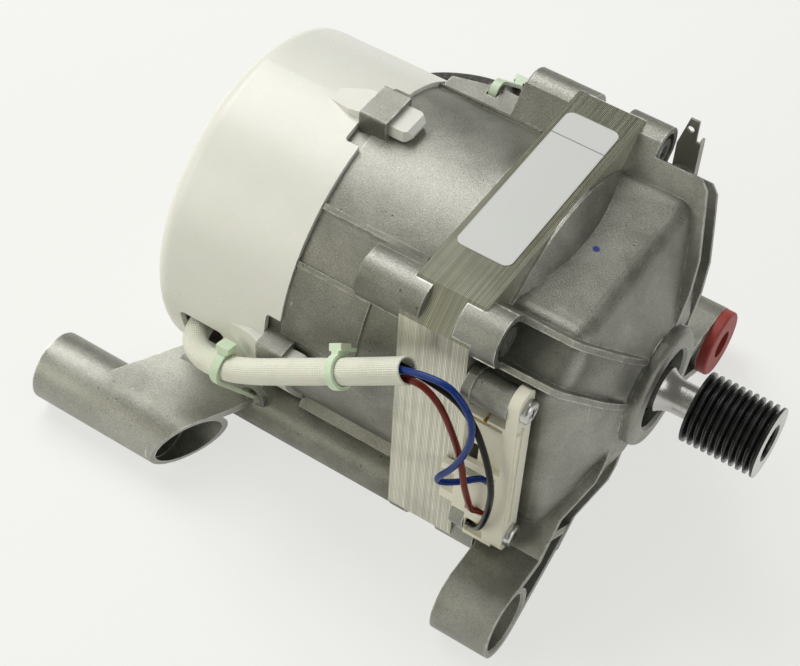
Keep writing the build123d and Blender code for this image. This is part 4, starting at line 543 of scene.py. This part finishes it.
# %% Material: windings
wire_material, tree, shader = start_material("winding_wire", metallic=0.9, roughness=0.3)
place = put(tree, "TexCoord").outputs["Object"]
centred = put(tree, "Mapping")
centred.inputs["Location"].default_value = (0, 0, -axis_height)
centred.inputs["Scale"].default_value = (0, 1, 1)
join(tree, place, centred.inputs["Vector"])
radius = put(tree, "VectorMath", operation="LENGTH")
join(tree, centred.outputs["Vector"], radius.inputs[0])
wire_pitch = 0.7 * mm
turns = maths(tree, "SINE", maths(tree, "MULTIPLY", radius.outputs["Value"], 2 * math.pi / wire_pitch))
gap = span(tree, turns, -1.0, 0.2, 1.0, 0.0)
wire_noise = noise(tree, place, 240, 3.0)
colour = blend_colours(tree, span(tree, wire_noise, 0.35, 0.65), (0.62, 0.22, 0.07, 1), (0.42, 0.14, 0.05, 1))
colour = blend_colours(tree, maths(tree, "MULTIPLY", gap, 0.8), colour, (0.06, 0.02, 0.01, 1))
join(tree, colour, shader.inputs["Base Color"])
raise_bumps(tree, shader, turns, 0.0002, 0.8)
dress(["winding_u", "winding_v", "winding_w"], wire_material)

# %% [markdown]
# The sensor board is green lacquer over copper tracks. A brick pattern gives a
# hint of tracks, and everything that stands off the board's face is a black
# or white component.

# %% Material: sensor board
board_material, tree, shader = start_material("board_lacquer", roughness=0.3)
place = put(tree, "TexCoord").outputs["Object"]
turned = put(tree, "Mapping")
turned.inputs["Rotation"].default_value = (0, math.pi / 2, 0)
join(tree, place, turned.inputs["Vector"])
tracks = put(tree, "TexBrick", Scale=90.0, offset=0.5)
tracks.inputs["Color1"].default_value = (0.012, 0.11, 0.035, 1)
tracks.inputs["Color2"].default_value = (0.016, 0.13, 0.045, 1)
tracks.inputs["Mortar"].default_value = (0.04, 0.24, 0.08, 1)
tracks.inputs["Mortar Size"].default_value = 0.03
join(tree, turned.outputs["Vector"], tracks.inputs["Vector"])
parts = put(tree, "SeparateXYZ")
join(tree, place, parts.inputs[0])
board_front = -49.35 * mm
board_rear = -50.95 * mm
chips = span(tree, parts.outputs["X"], board_front + 0.1 * mm, board_front + 0.2 * mm)
header = span(tree, parts.outputs["X"], board_rear - 0.2 * mm, board_rear - 0.1 * mm, 1.0, 0.0)
colour = blend_colours(tree, chips, tracks.outputs["Color"], (0.015, 0.015, 0.015, 1))
colour = blend_colours(tree, header, colour, (0.62, 0.60, 0.52, 1))
join(tree, colour, shader.inputs["Base Color"])
raise_bumps(tree, shader, tracks.outputs["Fac"], 0.00005, 0.5)
dress(["sensor_board"], board_material)

# %% [markdown]
# The label is a film of plain plastic. The real one is printed, and the print is
# left off, so what remains is the film: a fine gloss, a ruled line across its
# far end, and edges that have picked up a little dirt.

# %% Material: label film
label_material, tree, shader = start_material("label_film", roughness=0.33)
place = put(tree, "TexCoord").outputs["Object"]
parts = put(tree, "SeparateXYZ")
join(tree, place, parts.inputs[0])
label_low, label_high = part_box("rating_label")
clouds = noise(tree, place, 45, 4.0)
colour = blend_colours(tree, span(tree, clouds, 0.4, 0.8, 0.0, 0.5), (0.70, 0.71, 0.70, 1),
                       (0.64, 0.65, 0.635, 1))
line_setback = 11.0 * mm
line_y = label_high[1] - line_setback
from_line = maths(tree, "ABSOLUTE", maths(tree, "SUBTRACT", parts.outputs["Y"], line_y))
ruled = span(tree, from_line, 0.15 * mm, 0.25 * mm, 0.75, 0.0)
colour = blend_colours(tree, ruled, colour, (0.10, 0.10, 0.10, 1))
edge_x = maths(tree, "MINIMUM", maths(tree, "SUBTRACT", parts.outputs["X"], label_low[0]),
               maths(tree, "SUBTRACT", label_high[0], parts.outputs["X"]))
edge_y = maths(tree, "MINIMUM", maths(tree, "SUBTRACT", parts.outputs["Y"], label_low[1]),
               maths(tree, "SUBTRACT", label_high[1], parts.outputs["Y"]))
rim = span(tree, maths(tree, "MINIMUM", edge_x, edge_y), 0.0, 0.5 * mm, 0.5, 0.0)
colour = blend_colours(tree, rim, colour, (0.35, 0.34, 0.31, 1))
join(tree, colour, shader.inputs["Base Color"])
join(tree, span(tree, clouds, 0.3, 0.7, 0.28, 0.40), shader.inputs["Roughness"])
raise_bumps(tree, shader, noise(tree, place, 500, 3.0), 0.00003, 0.3)
dress(["rating_label"], label_material)


# %% [markdown]
# Three insulated leads, a braided sleeve and a black cable run over the
# castings. Each follows one smooth curve. Its control points are those that the
# solid in the frame was swept along, so the soft piece lies where the solid is.

# %% Cord helpers
def beside_stack(points):
    """Points given ahead of the stack, across and above the shaft, in millimetres."""
    return [Vector((stack_front + x * mm, y * mm, axis_height + z * mm)) for x, y, z in points]


def cord_curve(name, points, radius=0.0):
    """Smooth NURBS curve through a route; a radius makes it a closed round tube."""
    data = bpy.data.curves.new(name, "CURVE")
    data.dimensions = "3D"
    data.resolution_u = 24
    data.bevel_depth = radius
    data.bevel_resolution = 5
    data.use_fill_caps = radius > 0
    spline = data.splines.new("NURBS")
    spline.points.add(len(points) - 1)
    for point, place in zip(spline.points, points):
        point.co = (*place, 1.0)
    spline.order_u = 3
    spline.use_endpoint_u = True
    obj = bpy.data.objects.new(name, data)
    bpy.context.scene.collection.objects.link(obj)
    return obj


def as_mesh(curve, name):
    """Replace a curve object by a mesh object of the same shape."""
    mesh = bpy.data.meshes.new_from_object(curve.evaluated_get(bpy.context.evaluated_depsgraph_get()))
    obj = bpy.data.objects.new(name, mesh)
    bpy.context.scene.collection.objects.link(obj)
    bpy.data.objects.remove(curve)
    for face in mesh.polygons:
        face.use_smooth = True
    return obj


def route_places(points):
    """Places along the smooth route of a cord, read from its curve."""
    curve = cord_curve("route", points)
    bpy.context.view_layer.update()
    mesh = bpy.data.meshes.new_from_object(curve.evaluated_get(bpy.context.evaluated_depsgraph_get()))
    places = [vertex.co.copy() for vertex in mesh.vertices]
    bpy.data.objects.remove(curve)
    bpy.data.meshes.remove(mesh)
    return places


# %% Cord routes
sleeve_route = beside_stack([
    (-98.8, -40.0, -12.0),
    (-98.4, -55.6, -11.4),
    (-91.2, -63.5, -11.6),
    (-79.4, -65.5, -8.2),
    (-66.6, -67.0, 0.7),
    (-52.6, -66.3, 10.0),
    (-32.6, -64.5, 22.4),
    (-14.7, -63.0, 34.5),
])
blue_route = beside_stack([
    (-19.0, -64.3, 33.9),
    (-2.6, -64.8, 42.0),
    (6.8, -65.0, 34.6),
    (9.4, -65.2, 26.0),
    (8.1, -65.3, 15.6),
    (4.0, -65.4, 4.2),
    (-1.2, -65.2, -4.4),
    (-0.5, -64.0, -7.8),
    (4.9, -60.9, -6.7),
    (9.6, -57.3, -5.0),
    (12.0, -56.65, -4.7),
])
brown_route = beside_stack([
    (-16.8, -64.3, 30.5),
    (-11.4, -64.2, 34.2),
    (-3.4, -64.3, 30.4),
    (1.8, -63.6, 18.6),
    (5.2, -62.4, 5.4),
    (7.1, -63.1, -4.2),
    (8.6, -61.6, -13.8),
    (8.5, -59.5, -19.7),
    (9.9, -57.6, -21.5),
    (12.0, -56.7, -21.6),
])
black_route = beside_stack([
    (-18.3, -61.3, 32.6),
    (-1.4, -61.6, 33.4),
    (8.0, -62.0, 25.0),
    (13.2, -62.3, 12.5),
    (16.1, -62.3, 0.0),
    (15.6, -61.8, -11.5),
    (13.6, -60.6, -22.0),
    (11.2, -58.9, -28.4),
    (8.9, -57.1, -31.2),
    (6.5, -56.65, -31.3),
])
cable_route = beside_stack([
    (-94.6, 42.0, 12.5),
    (-89.4, 52.5, 16.3),
    (-80.6, 57.8, 19.2),
    (-68.6, 57.0, 25.2),
    (-56.6, 53.6, 31.4),
    (-44.6, 52.6, 33.0),
    (-37.0, 54.2, 29.6),
    (-34.2, 58.2, 21.5),
    (-35.4, 62.5, 9.5),
    (-35.4, 62.5, -0.5),
])

# %% [markdown]
# The leads have a cover of shiny soft plastic. It is slightly uneven along its
# length, and where it has been handled the gloss is dulled.

# %% Leads
def lead_cover(name, colour, shade):
    """Cover of one lead."""
    material, tree, shader = moulded(name, colour, shade, 0.11, dust=0.01, clouds=180.0, bump=0.00002)
    shader.inputs["Specular IOR Level"].default_value = 0.2
    return material


lead_radius = 1.05 * mm
for colour_name, route, colour, shade in (
    ("blue", blue_route, (0.008, 0.035, 0.20, 1), (0.012, 0.045, 0.25, 1)),
    ("brown", brown_route, (0.17, 0.018, 0.012, 1), (0.23, 0.03, 0.02, 1)),
    ("black", black_route, (0.004, 0.004, 0.004, 1), (0.008, 0.008, 0.008, 1)),
):
    lead = as_mesh(cord_curve("lead_line", route, lead_radius), "lead_cover_" + colour_name)
    lead.data.materials.append(lead_cover("cover_" + colour_name, colour, shade))
    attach(lead, "housing")
    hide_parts("lead_" + colour_name)
    print("lead", colour_name, len(lead.data.polygons), "faces")


# %% [markdown]
# The sleeve and the cable are tubes whose section changes along the way: the
# sleeve is pinched under its ties and open at its end. So their rings are laid one
# by one along the route, and each ring is carried from the last with the least
# turn, so that the weave doesn't twist. The UV map is in turns of the tube and
# in metres along it, and the weave is drawn on it.

# %% Tube helper
def laid_tube(name, places, radius_at, sides=40, inner=None):
    """Tube along a route; radius_at(distance, angle) gives its outside."""
    mesh = bpy.data.meshes.new(name)
    shape = bmesh.new()
    uv = shape.loops.layers.uv.new("UVMap")
    ahead = (places[1] - places[0]).normalized()
    side = ahead.cross(Vector((0, 0, 1))).normalized()
    distance = 0.0
    rings = []
    marks = []
    for number, here in enumerate(places):
        before = places[max(number - 1, 0)]
        after = places[min(number + 1, len(places) - 1)]
        along = (after - before).normalized()
        side = (side - along * side.dot(along)).normalized()
        other = along.cross(side)
        distance += (here - before).length
        ring = []
        for step in range(sides):
            angle = 2 * math.pi * step / sides
            reach = radius_at(distance, angle)
            ring.append(shape.verts.new(here + (side * math.cos(angle) + other * math.sin(angle)) * reach))
        rings.append(ring)
        marks.append(distance)
    if inner is not None:
        for number in range(len(places) - 1, len(places) - 16, -1):
            here = places[number]
            ring = []
            for vertex in rings[number]:
                ring.append(shape.verts.new(here + (vertex.co - here) * inner))
            rings.append(ring)
            marks.append(2 * marks[len(places) - 1] - marks[number])
    for number in range(len(rings) - 1):
        for step in range(sides):
            following = (step + 1) % sides
            face = shape.faces.new((rings[number][step], rings[number][following],
                                    rings[number + 1][following], rings[number + 1][step]))
            face.smooth = True
            corners = ((step, number), (step + 1, number), (step + 1, number + 1), (step, number + 1))
            for loop, (turn_step, ring_number) in zip(face.loops, corners):
                loop[uv].uv = (turn_step / sides, marks[ring_number])
    shape.faces.new(reversed(rings[0]))
    shape.faces.new(rings[-1])
    bmesh.ops.recalc_face_normals(shape, faces=shape.faces)
    shape.to_mesh(mesh)
    shape.free()
    obj = bpy.data.objects.new(name, mesh)
    bpy.context.scene.collection.objects.link(obj)
    return obj


def evenly(places, spacing):
    """The same route with places at an even spacing."""
    result = [places[0]]
    left = spacing
    for start, end in zip(places, places[1:]):
        length = (end - start).length
        reach = left
        while reach <= length:
            result.append(start.lerp(end, reach / length))
            reach += spacing
        left = reach - length
    if (places[-1] - result[-1]).length > spacing / 4:
        result.append(places[-1])
    return result


# %% [markdown]
# The sleeve is glass braid: two sets of flat bundles that cross at a shallow
# angle. On the UV map a bundle is a band; one set leans left and one leans
# right, and each passes over and under the other in turn.

# %% Material: braid
braid_material, tree, shader = start_material("glass_braid", roughness=0.62)
shader.inputs["Sheen Weight"].default_value = 0.25
shader.inputs["Subsurface Weight"].default_value = 0.15
shader.inputs["Subsurface Scale"].default_value = 0.001
uv_place = put(tree, "UVMap", uv_map="UVMap").outputs["UV"]
uv_parts = put(tree, "SeparateXYZ")
join(tree, uv_place, uv_parts.inputs[0])
bundles = 20
lay_length = 17.0 * mm
round_turns = maths(tree, "MULTIPLY", uv_parts.outputs["X"], float(bundles))
along_turns = maths(tree, "MULTIPLY", uv_parts.outputs["Y"], bundles / lay_length / 2.2)
one_way = maths(tree, "ADD", round_turns, along_turns)
other_way = maths(tree, "SUBTRACT", round_turns, along_turns)
one_band = maths(tree, "COSINE", maths(tree, "MULTIPLY", one_way, 2 * math.pi))
other_band = maths(tree, "COSINE", maths(tree, "MULTIPLY", other_way, 2 * math.pi))
over = maths(tree, "MULTIPLY", one_band, other_band)
threads = put(tree, "TexNoise", Scale=1.0, Detail=2.0)
thread_map = put(tree, "Mapping")
thread_map.inputs["Scale"].default_value = (260.0, 500.0, 1.0)
join(tree, uv_place, thread_map.inputs["Vector"])
join(tree, thread_map.outputs["Vector"], threads.inputs["Vector"])
weave = maths(tree, "ADD", over, maths(tree, "MULTIPLY", threads.outputs["Fac"], 0.9))
soil = noise(tree, put(tree, "TexCoord").outputs["Object"], 110, 4.0)
colour = blend_colours(tree, span(tree, weave, -0.9, 0.9), (0.72, 0.725, 0.60, 1), (0.91, 0.915, 0.80, 1))
colour = blend_colours(tree, span(tree, soil, 0.5, 0.8, 0.0, 0.4), colour, (0.64, 0.64, 0.52, 1))
join(tree, colour, shader.inputs["Base Color"])
raise_bumps(tree, shader, weave, 0.00016, 0.7)

# %% Braided sleeve
sleeve_radius = 4.15 * mm
sleeve_spacing = 0.6 * mm
sleeve_places = evenly(route_places(sleeve_route), sleeve_spacing)
sleeve_length = (len(sleeve_places) - 1) * sleeve_spacing
tie_marks = (37.0 * mm, 86.0 * mm)


def sleeve_reach(distance, angle):
    """Outside of the sleeve: soft, pinched under the ties, a little flared at its end."""
    reach = sleeve_radius + 0.07 * mm * math.sin(3 * angle + distance * 90)
    for mark in tie_marks:
        reach -= 0.22 * mm * math.exp(-((distance - mark) / (2.2 * mm)) ** 2)
    reach += 0.12 * mm * math.exp(-((sleeve_length - distance) / (2.0 * mm)) ** 2)
    return reach


sleeve = laid_tube("braided_sleeve", sleeve_places, sleeve_reach, sides=56, inner=0.86)
sleeve.data.materials.append(braid_material)
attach(sleeve, "housing")
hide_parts("lead_sleeve")
print("sleeve", round(sleeve_length, 4), "m long")

# %% [markdown]
# The far cable has a soft black cover with a fine knit under it, seen as faint
# ripples. It goes into its plug at the lower end.

# %% Far cable
cable_radius = 3.22 * mm
cable_spacing = 0.7 * mm
cable_material, tree, shader = moulded("cable_cover", (0.014, 0.014, 0.015, 1),
                                       (0.035, 0.034, 0.032, 1), 0.42, dust=0.3, clouds=140.0)
uv_place = put(tree, "UVMap", uv_map="UVMap").outputs["UV"]
knit = put(tree, "Mapping")
knit.inputs["Scale"].default_value = (24.0, 900.0, 1.0)
join(tree, uv_place, knit.inputs["Vector"])
knit_cells = put(tree, "TexVoronoi", Scale=1.0, Randomness=0.25)
join(tree, knit.outputs["Vector"], knit_cells.inputs["Vector"])
raise_bumps(tree, shader, knit_cells.outputs["Distance"], 0.00015, 0.6)


def cable_reach(distance, angle):
    """Outside of the cable: slightly lumpy over the cores inside it."""
    return cable_radius + 0.06 * mm * math.sin(2 * angle + distance * 160)


cable = laid_tube("far_cable", evenly(route_places(cable_route), cable_spacing), cable_reach, sides=40)
cable.data.materials.append(cable_material)
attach(cable, "housing")
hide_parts("sensor_cable")
print("cable has", len(cable.data.polygons), "faces")

# %% [markdown]
# The motor lies on a pale sheet under soft lamps. Light Path tells the sheet who
# is looking. Light that bounces to the motor meets a plain pale sheet. The
# camera, and what metal or glass mirrors, meet a sheet that glows by itself and
# takes less light, so it reads as near white, with a soft shadow, while the
# lamps stay at a plain level.

# %% Floor
seen_glow = 0.66
seen_tone = (0.24, 0.24, 0.236, 1)
bpy.ops.object.select_all(action="DESELECT")
bpy.ops.mesh.primitive_plane_add(size=6.0, location=(0, 0, -0.0002))
floor = bpy.context.object
floor.name = "studio_floor"
floor_material, tree, shader = start_material("pale_sheet", roughness=0.8)
floor_noise = noise(tree, put(tree, "TexCoord").outputs["Object"], 9, 3.0)
sheet_tone = blend_colours(tree, floor_noise, (0.78, 0.78, 0.755, 1), (0.82, 0.82, 0.795, 1))
rays = put(tree, "LightPath")
seen = maths(tree, "MAXIMUM", rays.outputs["Is Camera Ray"], rays.outputs["Is Glossy Ray"])
seen = maths(tree, "MAXIMUM", seen, rays.outputs["Is Transmission Ray"])
join(tree, blend_colours(tree, seen, sheet_tone, seen_tone), shader.inputs["Base Color"])
join(tree, maths(tree, "MULTIPLY", seen, seen_glow), shader.inputs["Emission Strength"])
shader.inputs["Emission Color"].default_value = (1.0, 1.0, 0.97, 1)
floor.data.materials.append(floor_material)

# %% Lamps
def softbox(name, place, target, size, power, colour=(1, 1, 1)):
    """Square area lamp that faces a target."""
    data = bpy.data.lights.new(name, "AREA")
    data.shape = "SQUARE"
    data.size = size
    data.energy = power
    data.color = colour
    lamp = bpy.data.objects.new(name, data)
    bpy.context.scene.collection.objects.link(lamp)
    lamp.location = place
    aim = Vector(target) - Vector(place)
    lamp.rotation_euler = aim.to_track_quat("-Z", "Y").to_euler()
    return lamp


centre = (0.0, 0.0, 0.06)
softbox("key_box", (-0.70, 0.25, 1.10), centre, 0.9, 12.0, (1.0, 1.0, 0.98))
softbox("near_box", (-0.75, -0.95, 0.55), centre, 0.8, 5.0, (1.0, 0.99, 0.87))
softbox("front_box", (1.10, -0.10, 0.55), centre, 0.7, 2.6, (0.98, 0.99, 1.0))
world = bpy.data.worlds.new("studio_air")
world.use_nodes = True
world.node_tree.nodes["Background"].inputs["Color"].default_value = (0.95, 0.95, 0.87, 1)
world.node_tree.nodes["Background"].inputs["Strength"].default_value = 0.21
bpy.context.scene.world = world
bpy.context.scene.view_settings.view_transform = "Standard"
